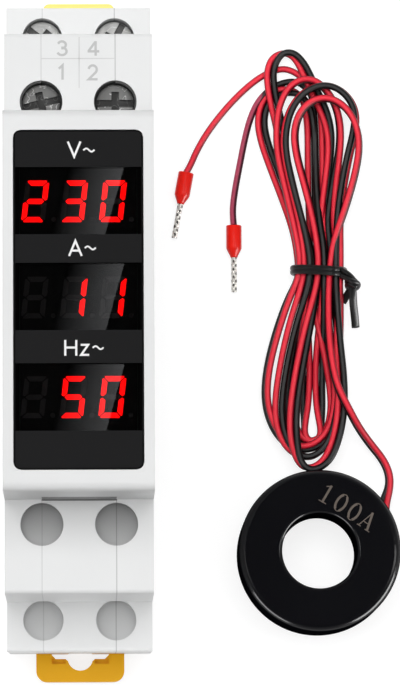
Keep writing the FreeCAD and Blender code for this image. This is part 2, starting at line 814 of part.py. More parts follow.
def contact(name, side, place, level):
    """Bar through the clamp, with a foot that is soldered to the main board."""
    x = d.seam_offset * side
    top = seat_of(level) - d.shank_length - d.running_gap * 2
    low = top - d.contact_thick
    half = d.contact_width / 2
    end = place - d.contact_reach
    bar = box((x - half, x + half), (end, place + d.clamp_half_depth), (low, top))
    foot_in = (d.main_thick / 2 + d.joint_gap) * side
    foot = box(sorted((foot_in, x), key=float), (end, end + d.contact_width * 0.6), (low, top))
    return node(name, fuse(bar, foot))


# Terminals 1 and 2 are on the inner level and 3 and 4 on the outer level: side, level and the
# angle of the screw's slot
TERMINALS = {1: (-1, "upper", 10), 2: (1, "upper", 0), 3: (-1, "lower", 35), 4: (1, "lower", 5)}


def terminals():
    for number, (side, key, turn) in TERMINALS.items():
        place, level, radius = LEVELS[key]
        x = d.seam_offset * side
        screw(f"terminal_screw_{number}", x, place, level, turn)
        clamp(f"terminal_clamp_{number}", x, place, level)
        contact(f"terminal_contact_{number}", side, place, level)


# Boards


face = d.main_thick / 2

# Square parts on the main board: side, low and high end along Y, low and high end, how far it stands off
SQUARE_PARTS = {
    "dropper_capacitor": (-1, (-7.0, 6.0), (6.0, 18.0), d.film_capacitor_depth),
    "metering_chip": (1, (-14.0, -4.0), (27.0, 31.0), d.chip_depth),
    "controller_chip": (1, (2.0, 9.0), (27.0, 34.0), d.chip_depth),
}


def boards():
    """The upright main board with its parts, and the display board across its top."""
    body = new_body("main")
    low = floor_top + d.joint_gap
    high = board_top - d.board_thick - d.wall
    neck = d.main_upper_half - d.wall - fit_gap
    outline = mirrored([(d.main_lower_half, low), (d.main_lower_half, d.main_shelf),
                        (neck, d.main_shelf), (neck, high)])
    board = polygon(sketch(body, "YZ_Plane", -face), outline)
    pad(body, board, d.main_thick)
    node("main_board", body)
    half_x = half_width - d.wall - fit_gap
    half_y = d.front_half - d.wall - fit_gap
    node("display_board", box((-half_x, half_x), (-half_y, half_y),
                              (board_top - d.board_thick, board_top)))
    node("board_header", box((face, face + d.header_width), (-d.header_length / 2, d.header_length / 2),
                             (high - d.header_overlap, board_top - d.board_thick)))
    for name, (side, along, height, depth) in SQUARE_PARTS.items():
        node(name, box(sorted((face * side, (face + depth) * side), key=float), along, height))
    can = d.can_radius
    node("smoothing_capacitor", cylinder(can, d.can_length, (face + can, d.can_place, d.can_height), "y"))
    node("varistor", cylinder(d.varistor_radius, d.varistor_thick,
                              (face, d.varistor_place, d.varistor_height), "x"))
    node("burden_resistor", cylinder(d.resistor_radius, d.resistor_length,
                                     (-face - d.resistor_radius, d.resistor_place, d.resistor_height),
                                     "y"))


# Rail clips


def clip_body(name, end, tab_half, corner):
    """A flat sliding clip: guided foot, nose behind the rail's flange and a pull tab."""
    side = 1 if float(end) > 0 else -1
    body = new_body(name)
    half = d.clip_wide / 2
    foot = (rail_half + d.clip_gap) * side
    step = (d.lower_half - d.end_lean - d.wall * 2 - d.clip_travel - d.clip_gap) * side
    outline = sketch(body, "XY_Plane", clip_low)
    if float(tab_half) < float(half):
        points = [(-half, foot), (-half, step), (-tab_half, step), (-tab_half, end),
                  (tab_half, end), (tab_half, step), (half, step), (half, foot)]
    else:
        points = [(-half, foot), (-half, end), (half, end), (half, foot)]
    pad(body, polygon(outline, points), d.clip_thick)
    nose_end = (rail_half - d.nose_reach) * side
    nose_root = (rail_half + d.wall * 2) * side
    slope = d.nose_slope * side
    profile = [(nose_root, clip_low), (nose_end, clip_low), (nose_end, clip_high - d.clip_gap),
               (nose_end + slope, nose_top), (foot + slope, nose_top), (nose_root, clip_high)]
    nose = polygon(sketch(body, "YZ_Plane", -d.nose_half), profile)
    pad(body, nose, d.nose_half * 2)
    reach = abs(float(end))
    dress(body, "Fillet", corner,
          lambda b, e: b.ZLength > 0.9 * float(d.clip_thick) and near(abs(b.YMin), reach)
          and near(abs(b.YMax), reach))
    return body


def clips():
    lower = clip_body("lower", -d.lower_tab, d.clip_wide / 2, d.clip_corner)
    window = sketch(lower, "XY_Plane", clip_low)
    half = d.window_half
    bevel = d.window_bevel
    base = -d.window_base
    mouth = d.notch_radius + d.notch_flare
    throat = base - d.notch_flare
    polygon(window, [(-half, -d.window_top), (half, -d.window_top), (half, base + bevel),
                     (half - bevel, base), (mouth, base), (d.notch_radius, throat),
                     (-d.notch_radius, throat), (-mouth, base), (bevel - half, base),
                     (-half, base + bevel)])
    pocket(lower, window, d.clip_thick, True)
    notch = cylinder(d.notch_radius, d.clip_thick * 2, (0, base + d.notch_inset, clip_low - 1))
    recesses = [box(sorted((half * side, (half - d.recess_length) * side), key=float),
                    (base - d.recess_width, base + d.notch_inset),
                    (clip_high - d.recess_depth, clip_high + 1)) for side in (-1, 1)]
    node("lower_clip", cut(lower, notch, *recesses))
    upper = clip_body("upper", d.upper_tab, d.clip_narrow / 2, d.tab_corner)
    node("upper_clip", upper)


# Current transformer

ring_base = -d.back_depth
HOLES = {"red": (d.red_hole_across, d.red_hole_height),
         "black": (d.black_hole_across, d.black_hole_height)}


def ring(name, inner, outer, low, high, round_edges=()):
    """A ring turned about the middle of the transformer."""
    body = new_body(name)
    profile = rectangle(sketch(body, "XZ_Plane"), (inner, outer), (low, high))
    turned = body.newObject("PartDesign::Revolution", "turn")
    turned.Profile = profile
    turned.ReferenceAxis = (profile, ["V_Axis"])
    turned.Angle = 360
    for radius, size in round_edges:
        dress(body, "Fillet", size,
              lambda b, e, r=radius: near(b.ZMin, high) and near(b.ZMax, high) and near(b.XMax, r))
    return body


def stand(thing):
    """Stands a ring on the table at the transformer's place."""
    return put(thing, d.ring_x, d.ring_y, ring_base)


def rim_y(across):
    """Where the rim of the ring is, that far from its middle along X."""
    return math.sqrt(float(d.ring_radius) ** 2 - float(across) ** 2)


def transformer():
    body = ring("ring", d.bore_radius, d.ring_radius, 0, d.ring_thick,
                ((d.ring_radius, d.ring_round), (d.bore_radius, d.bore_round)))
    hollow = sketch(body, "XZ_Plane")
    groove_in = d.bore_radius + d.bore_wall
    groove_out = d.ring_radius - d.ring_wall
    rectangle(hollow, (groove_in, groove_out), (0, d.ring_thick - d.ring_wall))
    doc.recompute()
    groove = body.newObject("PartDesign::Groove", "groove")
    groove.Profile = hollow
    groove.ReferenceAxis = (hollow, ["V_Axis"])
    groove.Angle = 360
    stand(body)
    holes = []
    for across, high in HOLES.values():
        end = rim_y(across) - float(d.hole_depth)
        holes.append(cylinder(d.wire / 2 + d.hole_gap, d.ring_radius,
                              (d.ring_x + across, d.ring_y + end, ring_base + high), "y"))
    node("ct_case", cut(body, *holes))
    gap = d.joint_gap
    lift = d.ring_wall * 0.25
    node("ct_cover", stand(ring("cover", groove_in + gap, groove_out - gap, lift,
                                lift + d.cover_thick)))
    coil_low = lift + d.cover_thick + d.core_gap / 2
    coil_high = d.ring_thick - d.ring_wall - d.core_gap / 2
    coil_in, coil_out = groove_in + d.core_gap, groove_out - d.core_gap
    thick = d.winding_thick
    outer = ring("coil", coil_in, coil_out, coil_low, coil_high)
    space = ring("space", coil_in + thick - gap, coil_out - thick + gap, coil_low + thick - gap,
                 coil_high - thick + gap)
    node("ct_winding", stand(cut(outer, space)))
    node("ct_core", stand(ring("core", coil_in + thick, coil_out - thick, coil_low + thick,
                               coil_high - thick)))


# Cable


def biarc(start, ahead, end, onward):
    """Two arcs that leave start along ahead and reach end along onward."""
    across = end - start
    both = ahead + onward
    slack = 2 * (1 - ahead.dot(onward))
    if slack < 1e-9:
        reach = across.dot(across) / (4 * across.dot(onward))
    else:
        pull = across.dot(both)
        reach = (math.sqrt(pull * pull + slack * across.dot(across)) - pull) / slack
    middle = (start + ahead * reach + end - onward * reach) * 0.5
    return [*arc(start, ahead, middle), *arc(end, onward * -1, middle, True)]


def arc(start, ahead, end, turned=False):
    """The arc that leaves start along ahead and ends at end, as an edge."""
    chord = end - start
    away = chord - ahead * chord.dot(ahead)
    if away.Length < 1e-6:
        ends = (end, start) if turned else (start, end)
        return [Part.LineSegment(*ends).toShape()]
    away.normalize()
    radius = chord.dot(chord) / (2 * chord.dot(away))
    middle = start + away * radius
    angle = math.atan2(chord.dot(ahead), radius - chord.dot(away)) / 2
    half = middle + ahead * (radius * math.sin(angle)) - away * (radius * math.cos(angle))
    points = (end, half, start) if turned else (start, half, end)
    return [Part.Arc(*points).toShape()]


def tube(edges, start, ahead):
    """A round wire along a path."""
    section = Part.Wire(Part.Circle(start, ahead, float(d.wire) / 2).toShape())
    return Part.Wire(edges).makePipeShell([section], True, False)


# The lobes of the hank above and below its waist, for each layer: middle across, radius of the
# outer strand and height of the round end's middle from the waist
LOBES = {
    0: {"top": (29.9, 4.9, 22.1), "foot": (29.9, 5.1, -18.8)},
    1: {"top": (31.4, 5.5, 19.0), "foot": (31.4, 4.7, -21.6)},
    2: {"top": (31.6, 4.7, 16.5), "foot": (30.9, 5.2, -21.0)},
}
SLOTS = {"red": (3, 1), "black": (2, 0)}
UP, DOWN, EAST = Vector(0, 1, 0), Vector(0, -1, 0), Vector(1, 0, 0)
FIRST_LAYER = float(ring_base + d.tie_thick + d.joint_gap * 2 + d.wire / 2)
WAIST_HEIGHT = [FIRST_LAYER + float(d.layer_rise) * layer for layer in LOBES]
LOBE_HEIGHT = WAIST_HEIGHT[:2] + [WAIST_HEIGHT[2] + float(d.lobe_lift)]
OUTER_SLOT = 3
START_LIFT = 1.0
START_X = -0.5


def lobe_point(layer, end, side, slot):
    """Where a strand is at the start of a lobe's round end."""
    middle, radius, height = LOBES[layer][end]
    x = middle + side * (radius - (OUTER_SLOT - slot) * float(d.slot_step))
    return Vector(x, float(d.waist_y) + height, LOBE_HEIGHT[layer])


def waist_point(layer, end, side, slot):
    x = float(d.hank_x) + side * (float(d.waist_open) + slot * float(d.slot_step))
    y = float(d.waist_y) + (1 if end == "top" else -1) * float(d.waist_half)
    return Vector(x, y, WAIST_HEIGHT[layer])


def hank_start(slot):
    middle, radius, height = LOBES[0]["top"]
    high = height + radius - (OUTER_SLOT - slot) * float(d.slot_step) + START_LIFT
    return Vector(middle + START_X, float(d.waist_y) + high, LOBE_HEIGHT[0])


def hank_edges(colour):
    """Five and a half turns in three layers: in, out and in again; it climbs on the left."""
    outer, inner = SLOTS[colour]
    right = [(0, outer), (0, inner), (1, inner), (1, outer), (2, outer), (2, inner)]
    left = [(0, outer), (0, inner), (1, outer), (2, outer), (2, inner)]
    path = [(hank_start(outer), EAST)]
    for turn, (layer, slot) in enumerate(right):
        path.append((lobe_point(layer, "top", 1, slot), DOWN))
        path.append((waist_point(layer, "top", 1, slot), DOWN))
        path.append((waist_point(layer, "foot", 1, slot), DOWN))
        if turn == len(left):
            break
        path.append((lobe_point(layer, "foot", 1, slot), DOWN))
        layer, slot = left[turn]
        path.append((lobe_point(layer, "foot", -1, slot), UP))
        path.append((waist_point(layer, "foot", -1, slot), UP))
        path.append((waist_point(layer, "top", -1, slot), UP))
        path.append((lobe_point(right[turn + 1][0], "top", -1, slot), UP))
    edges = []
    for (start, ahead), (end, onward) in zip(path, path[1:]):
        edges.extend(biarc(start, ahead, end, onward))
    return edges, path[0], path[-1]


def least_gap(edges):
    """The least gap of a wire to itself, on points along its path."""
    points, along, total = [], [], 0.0
    for edge in edges:
        count = max(2, round(edge.Length / 0.4))
        for point in edge.discretize(count)[:-1]:
            points.append(point)
            along.append(total)
            total += edge.Length / (count - 1)
    far = 4 * float(d.wire)
    best = min((points[i] - points[j]).Length for i in range(0, len(points))
               for j in range(i + 1, len(points)) if along[j] - along[i] > far)
    return best - float(d.wire), total


def route_edges(points):
    """Straight runs joined by arcs as large as the runs allow, and the radii of the arcs."""
    edges, radii = [], []
    last = points[0]
    for before, corner, after in zip(points, points[1:], points[2:]):
        to_before, to_after = before - corner, after - corner
        half_turn = (math.pi - to_before.getAngle(to_after)) / 2
        reach = 0.45 * min(to_before.Length, to_after.Length)
        radius = reach / math.tan(half_turn)
        start = corner + to_before.normalize() * reach
        end = corner + to_after.normalize() * reach
        bisector = (to_before + to_after).normalize()
        middle = corner + bisector * (radius / math.cos(half_turn) - radius)
        edges.append(Part.LineSegment(last, start).toShape())
        edges.append(Part.Arc(start, middle, end).toShape())
        radii.append(round(radius, 1))
        last = end
    edges.append(Part.LineSegment(last, points[-1]).toShape())
    return edges, radii


def free_wire(name, points):
    """A free stretch of wire, with its radii and its volume against section times length."""
    edges, radii = route_edges(points)
    made = tube(edges, points[0], points[1] - points[0])
    length = sum(edge.Length for edge in edges)
    section = math.pi * float(d.wire) ** 2 / 4
    print(f"{name}: {length:.1f} mm, radii {radii}, volume {made.Volume / section / length:.4f}")
    return node(name, solid(name + "_wire", made))


# Top of each collar and its lean in degrees
FERRULES = {"red": (Vector(13.92, 23.0, 0), 9.0), "black": (Vector(20.04, 16.25, 0), 0.0)}


def ferrule(colour):
    """A collar that tapers to the pin; both lie along the wire's end on the table."""
    axis = ferrule_axis(colour)
    turn = Rotation(Vector(0, 0, 1), axis)
    start = ferrule_top(colour)
    sleeve, taper = float(d.ferrule_sleeve), float(d.ferrule_cone)
    wide, tip, pin = float(d.ferrule_radius), float(d.ferrule_tip), float(d.pin_radius)
    straight = Part.makeCylinder(wide, sleeve)
    collar = straight.fuse(Part.makeCone(wide, tip, taper, Vector(0, 0, sleeve))).removeSplitter()
    collar.Placement = Placement(start, turn)
    made = solid(colour + "_collar", collar)
    node(colour + "_ferrule_collar", made)
    bar = Part.makeCylinder(pin, float(d.pin_length), Vector(0, 0, sleeve + taper))
    bar.Placement = Placement(start, turn)
    node(colour + "_ferrule_pin", solid(colour + "_pin", bar))


def ferrule_axis(colour):
    lean = math.radians(FERRULES[colour][1])
    return Vector(-math.sin(lean), -math.cos(lean), 0)


def ferrule_top(colour):
    top = FERRULES[colour][0]
    return Vector(top.x, top.y, float(ring_base + d.ferrule_radius + d.table_gap))


def lead_end(colour, back=0.0):
    across, high = HOLES[colour]
    y = float(d.ring_y) + rim_y(across) - float(d.hole_depth) + back
    return Vector(float(d.ring_x + across), y, float(ring_base + high))


def cable():
    for colour, tail, lead in (("red", RED_TAIL, RED_LEAD), ("black", BLACK_TAIL, BLACK_LEAD)):
        edges, (start, ahead), (end, onward) = hank_edges(colour)
        gap, length = least_gap(edges)
        print(f"{colour}_wire_hank: {length:.1f} mm, least gap to itself {gap:.2f} mm")
        node(colour + "_wire_hank", solid(colour + "_hank", tube(edges, start, ahead)))
        last = ferrule_top(colour)
        points = [start] + [Vector(*p) for p in tail]
        points += [last - ferrule_axis(colour) * 2.6, last]
        free_wire(colour + "_wire_tail", points)
        points = [end] + [Vector(*p) for p in lead]
        points += [lead_end(colour, 3.2), lead_end(colour)]
        free_wire(colour + "_wire_lead", points)
        ferrule(colour)


def hank_tie():
    """Two flat bands round the waist, the twisted knot beside them and its two ends."""
    gap = d.joint_gap
    thick = d.tie_thick
    half = d.waist_open + d.slot_step * OUTER_SLOT + d.wire / 2 + gap * 2
    low = ring_base + gap
    high = ring_base + thick + gap * 4 + d.wire + d.layer_rise * (len(LOBES) - 1)
    middle = d.waist_y + d.tie_place
    bands = []
    for side in (-1, 1):
        y = middle + d.tie_pitch / 2 * side
        width = (y - d.tie_width / 2, y + d.tie_width / 2)
        outer = box((d.hank_x - half - thick, d.hank_x + half + thick), width, (low, high + thick))
        inner = box((d.hank_x - half, d.hank_x + half), (width[0] - 1, width[1] + 1),
                    (low + thick, high))
        bands.append(cut(outer, inner))
    knot_x = d.hank_x + d.knot_start
    knot_end = middle - d.tie_pitch - d.knot_length
    knot = box((knot_x, knot_x + d.knot_width), (knot_end, middle), (high, high + d.knot_height))
    rest = high + gap * 2
    tail = box((knot_x + d.knot_width - d.end_width, knot_x + d.knot_width),
               (knot_end - d.tail_length, knot_end + gap), (rest, rest + d.end_thick))
    stub = box((knot_x, knot_x + d.end_width), (knot_end - d.stub_length, knot_end + gap),
               (rest, rest + d.end_thick))
    node("hank_tie", fuse(*bands, knot, tail, stub))


def write(folder):
    """Checks every object and every sub-part, then writes one file for each node."""
    doc.recompute()
    bad = [o.Name for o in doc.Objects if "Invalid" in o.State or "Error" in o.State]
    if bad:
        raise ValueError(f"failed objects: {bad}")
    for thing in NODES:
        shape = thing.Shape
        if shape.isNull() or not shape.isValid() or not shape.Solids:
            raise ValueError(f"{thing.Label}: no valid solid")
    os.makedirs(folder, exist_ok=True)
    for thing in NODES:
        thing.Shape.exportStep(os.path.join(folder, thing.Label + ".step"))
    print(len(NODES), "nodes")


shell(-1)
shell(1)
centre_frame()
front_bezel()
display_stack()
segments()
rivets()
terminals()
boards()
clips()
transformer()
cable()
hank_tie()
write("parts")
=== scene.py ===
"""DIN rail ammeter with its ring transformer: finishes, cable, ferrules, tie and lettering.

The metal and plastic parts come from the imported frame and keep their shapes. This file gives them
their finishes and adds the soft and printed pieces. Lengths in the tables are millimetres.
"""

import json
import math

import bpy
from bpy.props import FloatProperty, FloatVectorProperty, PointerProperty
from mathutils import Euler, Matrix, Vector


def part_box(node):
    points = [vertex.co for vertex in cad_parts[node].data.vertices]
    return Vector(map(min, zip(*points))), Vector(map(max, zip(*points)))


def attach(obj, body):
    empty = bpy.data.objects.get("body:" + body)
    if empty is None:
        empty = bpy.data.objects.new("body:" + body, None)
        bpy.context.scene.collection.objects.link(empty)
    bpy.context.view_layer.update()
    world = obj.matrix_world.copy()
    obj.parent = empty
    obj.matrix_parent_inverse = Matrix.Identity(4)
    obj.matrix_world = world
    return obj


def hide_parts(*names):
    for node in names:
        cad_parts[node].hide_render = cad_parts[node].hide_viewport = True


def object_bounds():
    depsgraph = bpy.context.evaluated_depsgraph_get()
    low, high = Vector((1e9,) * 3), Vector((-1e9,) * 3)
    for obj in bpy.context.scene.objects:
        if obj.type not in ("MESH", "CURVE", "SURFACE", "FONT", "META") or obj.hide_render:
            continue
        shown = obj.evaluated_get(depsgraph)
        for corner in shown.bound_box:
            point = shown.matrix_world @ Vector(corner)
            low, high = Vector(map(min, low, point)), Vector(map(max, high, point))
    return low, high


bl_info = {
    "name": "DIN Rail Ammeter",
    "version": (1, 0, 0),
    "blender": (4, 5, 0),
    "location": "View3D > Sidebar > Ammeter",
    "description": "Dresses a one-module rail ammeter and its ring transformer",
    "category": "Object",
}

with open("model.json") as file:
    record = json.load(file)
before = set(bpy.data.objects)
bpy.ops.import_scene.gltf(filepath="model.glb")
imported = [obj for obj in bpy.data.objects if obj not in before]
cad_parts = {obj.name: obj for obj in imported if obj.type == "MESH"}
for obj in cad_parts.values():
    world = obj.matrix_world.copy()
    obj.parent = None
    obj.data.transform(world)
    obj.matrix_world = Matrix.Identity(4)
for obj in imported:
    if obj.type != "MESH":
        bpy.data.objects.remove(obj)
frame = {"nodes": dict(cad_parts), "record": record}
CAD_BOX = [list(corner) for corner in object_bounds()]
NODES = frame["nodes"]
BODY = "meter"
MM = 0.001

# Red wire from its ferrule to the hank, in millimetres
RED_TAIL = [
    (13.9, 23.1, -4.48), (14.4, 23.92, -4.6), (15.26, 25.98, -4.9), (16.7, 28.48, -5.05),
    (18.86, 31.3, -5.05), (21.34, 33.91, -5.05), (23.82, 35.87, -5.05), (26.3, 36.85, -5.05),
    (27.99, 36.39, -5.05), (29.41, 35.27, -5.05), (30.57, 33.7, -5.05),
]
# Black wire from its ferrule to the hank
BLACK_TAIL = [
    (20.04, 16.25, -4.48), (19.97, 16.79, -4.6), (19.92, 18.52, -4.9), (20.23, 20.89, -5.05),
    (20.85, 24.09, -5.05), (21.57, 27.69, -5.05), (22.23, 30.17, -5.05), (23.15, 32.27, -5.05),
    (24.59, 33.9, -5.05), (26.29, 34.89, -5.05), (28.24, 35.14, -5.05), (29.47, 34.35, -5.05),
    (30.22, 33.3, -5.05),
]
# The pair wound together: middle of the two wires, and the side that the red wire is on in degrees,
# 0 outward, 90 above, 180 inward and -90 beneath; it turns on from point to point
PAIR = [
    (30.89, 32.12, -5.05, 0), (31.13, 28.98, -5.05, 0), (31.17, 25.3, -5, 0), (31.2, 21.09, -4.75, -10),
    (31.4, 16.56, -4, -50), (31.7, 12.84, -3.4, -90), (31.67, 8.68, -3.4, -90), (31.38, 4.06, -4, -130),
    (31.02, -0.81, -4.75, -180), (30.95, -4.68, -5.05, -180), (31.01, -7.29, -4.9, -200),
    (31.11, -9.26, -4.68, -245), (31.17, -10.69, -4.62, -268), (30.85, -11.58, -4.62, -270),
    (30.09, -11.92, -4.62, -270), (29.33, -11.58, -4.62, -270), (29.02, -10.68, -4.62, -270),
    (29.11, -9.12, -4.68, -258), (29.22, -7.16, -4.85, -220), (29.31, -4.42, -5.05, -185),
    (29.35, -0.01, -4.95, -185), (29.15, 4.92, -4.75, -230), (28.65, 9.06, -4.45, -300),
    (28.67, 12.44, -4.45, -360), (28.11, 15.72, -4.6, -360), (26.78, 19.67, -4.85, -360),
    (25.25, 23.75, -5.05, -360), (23.97, 27.42, -5.05, -360), (23.59, 30.04, -5.05, -360),
    (24.19, 32.4, -5.05, -360), (25.63, 33.57, -5, -370), (27.31, 33.85, -4.72, -410),
    (28.87, 33.25, -4.62, -450), (29.77, 31.56, -4.76, -500), (30.15, 28.72, -5.05, -540),
    (30.13, 24.79, -5.05, -540), (30.16, 19.55, -4.95, -540), (30.31, 15.33, -4.65, -540),
    (30.35, 11.92, -4.5, -540), (30.33, 9.06, -4.5, -540), (30.88, 4.88, -4.35, -540),
    (32.01, -0.08, -4.2, -540), (32.75, -4.63, -4.15, -540), (32.93, -7.88, -4.15, -540),
    (32.33, -10.6, -4.15, -540), (30.77, -12.21, -4.15, -540), (28.83, -12.21, -4.15, -540),
    (27.55, -10.45, -4.15, -540), (27.11, -7.47, -4.15, -540), (27.46, -3.32, -4.15, -540),
    (28.39, 1.87, -4.1, -580), (29.45, 6.13, -3.85, -640), (29.78, 9.22, -3.6, -720),
    (29.8, 12.35, -3.6, -720), (28.54, 16.28, -3.75, -720), (27.47, 20.74, -3.95, -720),
    (26.46, 25.2, -4.1, -720), (26.09, 28.87, -4.15, -720), (25.4, 31.75, -4.15, -720),
    (24.96, 34.11, -4.15, -720), (24.84, 36.2, -4.15, -725), (25.37, 37.84, -4.15, -745),
    (26.54, 38.75, -4.1, -800), (27.84, 38.55, -4.1, -835), (28.87, 37.37, -4.1, -860),
    (29.71, 35.67, -4.15, -880), (30.54, 33.71, -4.2, -895), (31.76, 31.23, -4.3, -915),
    (32.53, 28.62, -4.35, -945), (32.58, 25.75, -4.4, -962), (32.1, 21.83, -4.4, -962),
    (31.62, 17.53, -4.5, -945), (31.86, 13.63, -4.6, -912), (32.03, 9.72, -4.6, -900),
    (32.56, 5.12, -4.2, -900), (33.09, -0.14, -3.6, -900), (33.37, -4.71, -3.3, -900),
    (33.21, -8.21, -3.3, -910), (32.29, -10.93, -3.3, -930), (30.47, -12.6, -3.3, -950),
    (28.4, -12.98, -3.3, -960), (26.35, -12.07, -3.3, -965), (24.75, -9.73, -3.4, -965),
    (23.99, -6.61, -3.5, -965), (24.21, -2.97, -3.6, -965), (25.27, 1.44, -3.6, -965),
    (26.84, 6.09, -3.4, -972), (28.41, 9.32, -3.25, -990), (28.51, 12.31, -3.25, -990),
    (27.74, 16.22, -3.2, -990), (26.6, 21.16, -3.1, -990), (25.71, 25.06, -3, -990),
    (25.54, 28.2, -3, -990), (25.88, 31.33, -3, -990), (27, 33.88, -3, -990), (28.82, 35.12, -3, -990),
    (30.64, 34.98, -3, -990), (32.19, 33.63, -3.2, -992), (33.36, 31.63, -3.4, -996),
    (33.93, 28.91, -3.6, -1000), (33.78, 25.66, -3.7, -1005), (33.04, 21.23, -3.8, -1020),
    (32.5, 16.81, -3.9, -1050), (32.93, 13.29, -3.95, -1080), (33.23, 9.9, -3.95, -1080),
    (33.5, 5.29, -3.4, -1120), (33.64, -0.21, -2.9, -1170), (33.53, -5.16, -2.65, -1170),
    (33.05, -9.04, -2.6, -1170), (32.13, -12.14, -2.6, -1170), (30.44, -13.95, -2.6, -1170),
    (28.63, -14.14, -2.6, -1170), (26.84, -12.77, -2.65, -1130), (25.79, -10.31, -2.7, -1085),
    (25.58, -6.93, -2.8, -1078), (26.3, -2.14, -2.85, -1078), (27.49, 3.04, -2.8, -1080),
    (28.76, 6.92, -2.7, -1080), (29.43, 9.51, -2.65, -1105), (29.44, 12.25, -2.65, -1115),
    (28.69, 16.39, -2.5, -1140), (27.54, 20.93, -2.3, -1150), (26.72, 24.69, -2.1, -1150),
    (26.54, 27.54, -2, -1150), (27.2, 30.66, -1.9, -1152), (28.76, 32.99, -1.8, -1156),
    (30.97, 34.16, -1.75, -1160), (33.05, 34.04, -1.9, -1160), (34.86, 32.76, -2.1, -1156),
    (35.9, 30.71, -2.4, -1152), (35.7, 28.12, -2.6, -1148), (34.77, 24.48, -2.7, -1145),
    (34.03, 20.58, -2.75, -1142), (33.55, 16.41, -2.75, -1138), (33.51, 12.77, -2.75, -1125),
    (33.46, 9.13, -2.75, -1125), (33.4, 5.2, -2.5, -1160), (33.36, 0.76, -2.2, -1210),
    (33.7, -3.67, -1.95, -1250), (33.77, -7.81, -1.85, -1255), (33.13, -11.56, -1.85, -1240),
    (31.95, -14.53, -1.85, -1230), (30.01, -15.81, -1.85, -1200), (28.34, -15.16, -1.85, -1150),
    (27.52, -12.05, -1.9, -1085), (27.49, -8.04, -2, -1080), (28.3, -2.85, -2.2, -1070),
    (29.44, 2.62, -2.5, -1050), (30.45, 6.81, -2.9, -1010), (30.86, 9.42, -3.05, -990),
    (30.88, 12.55, -3.05, -990), (30.32, 16.68, -2.8, -1003), (29.23, 21.07, -2.4, -1005),
    (28.08, 25.19, -2, -1005), (27.83, 28.3, -1.8, -1005), (28.74, 30.86, -1.5, -1000),
    (30.55, 32.27, -1.3, -995), (32.62, 32.38, -1.2, -993), (34.55, 31.19, -1.15, -990),
    (35.9, 28.98, -1.2, -985), (36.34, 26.14, -1.4, -980), (35.75, 22.53, -1.7, -980),
    (34.38, 17.91, -2.2, -980), (32.95, 14.07, -2.8, -984), (32.47, 11.24, -3.05, -990),
    (32.21, 8.23, -2.9, -992), (32.08, 3.62, -2.2, -996), (32.28, -0.6, -1.4, -998),
    (33, -4.81, -0.7, -998), (34.46, -7.79, -0.6, -1000), (35.83, -10.3, -1.6, -1002),
    (37.43, -12.4, -2.9, -1006), (39.06, -14.29, -3.6, -1002), (39.89, -16.1, -3.68, -1003),
    (39.95, -17.91, -3.66, -1008),
]
# Ends of the two wires in the ring's wall
RED_END = [(39.41, -20.6, -3.2), (39.41, -22.25, -3.15)]
BLACK_END = [(38.86, -20, -4), (38.86, -21.44, -4.1)]


def node_box(name):
    low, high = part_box(name)
    return Vector(low), Vector(high)


# Settings that a user would change


class MeterSettings(bpy.types.PropertyGroup):
    case_colour: FloatVectorProperty(
        name="Case colour", description="Light grey moulding of the housing",
        subtype="COLOR", size=3, min=0, max=1, default=(0.76, 0.765, 0.765))
    clip_colour: FloatVectorProperty(
        name="Clip colour", description="Yellow moulding of the rail clips",
        subtype="COLOR", size=3, min=0, max=1, default=(0.93, 0.46, 0.002))
    digit_colour: FloatVectorProperty(
        name="Digit colour", description="Colour of the lit segments",
        subtype="COLOR", size=3, min=0, max=1, default=(1.0, 0.0, 0.0))
    digit_glow: FloatProperty(
        name="Digit glow", description="Strength of the lit segments", min=0, default=3.4)
    seam_width: FloatProperty(
        name="Seam width", description="Shadow line between the shells and the frame",
        subtype="DISTANCE", unit="LENGTH", min=0, default=0.09 * MM)


class CableSettings(bpy.types.PropertyGroup):
    wire: FloatProperty(
        name="Wire diameter", description="Diameter of one insulated wire",
        subtype="DISTANCE", unit="LENGTH", min=0.0005, default=0.85 * MM)
    # Colours of the wires on top: their flanks are painted darker as shade, and the black wire's lighter
    # top is a painted highlight
    red: FloatVectorProperty(
        name="Red wire", description="Insulation of the red wire",
        subtype="COLOR", size=3, min=0, max=1, default=(1.0, 0.042, 0.072))
    black: FloatVectorProperty(
        name="Black wire", description="Insulation of the black wire",
        subtype="COLOR", size=3, min=0, max=1, default=(0.070, 0.070, 0.071))
    ferrule: FloatVectorProperty(
        name="Ferrule collar", description="Collar of the ferrules",
        subtype="COLOR", size=3, min=0, max=1, default=(1.0, 0.012, 0.004))


class StageSettings(bpy.types.PropertyGroup):
    lens: FloatProperty(
        name="Lens", description="Focal length of the camera", unit="CAMERA", min=10, default=312.0)
    key_power: FloatProperty(
        name="Key light", description="Power of the large light", unit="POWER", min=0, default=3.0)
    ambient: FloatProperty(
        name="Ambient", description="Strength of the even light from all round", min=0, default=0.38)
    floor_colour: FloatVectorProperty(
        name="Floor colour", description="Table top",
        subtype="COLOR", size=3, min=0, max=1, default=(0.32, 0.32, 0.32))


def meter_settings():
    return bpy.context.scene.ammeter_meter


def cable_settings():
    return bpy.context.scene.ammeter_cable


def stage_settings():
    return bpy.context.scene.ammeter_stage


# Effects that several finishes share

# Seams of the case: how far from the middle, the share of shadow on the left one, the stretch across the
# middle where that share rises to 1, and the soft edge of what lies between the two
SEAM = {"place": 4.5 * MM, "left": 0.55, "middle": 1.0 * MM, "edge": 0.1 * MM}
# Dark gap between the front and the deck below it: its place, half width, soft edge and depth of shade
FOOT_GAP = {"y": -22.76 * MM, "half": 0.07 * MM, "edge": 0.04 * MM, "depth": 0.80}
# Shade in the wells: soft edges of wall and level, the reach and low end of its slope, and its least
# strength in the wells with screws, past the middle of the case
WELL = {"wall": 0.06 * MM, "step": 0.1 * MM, "reach": 2.4 * MM, "low": 0.60, "screws": 1.3,
        "middle": 1.0 * MM}
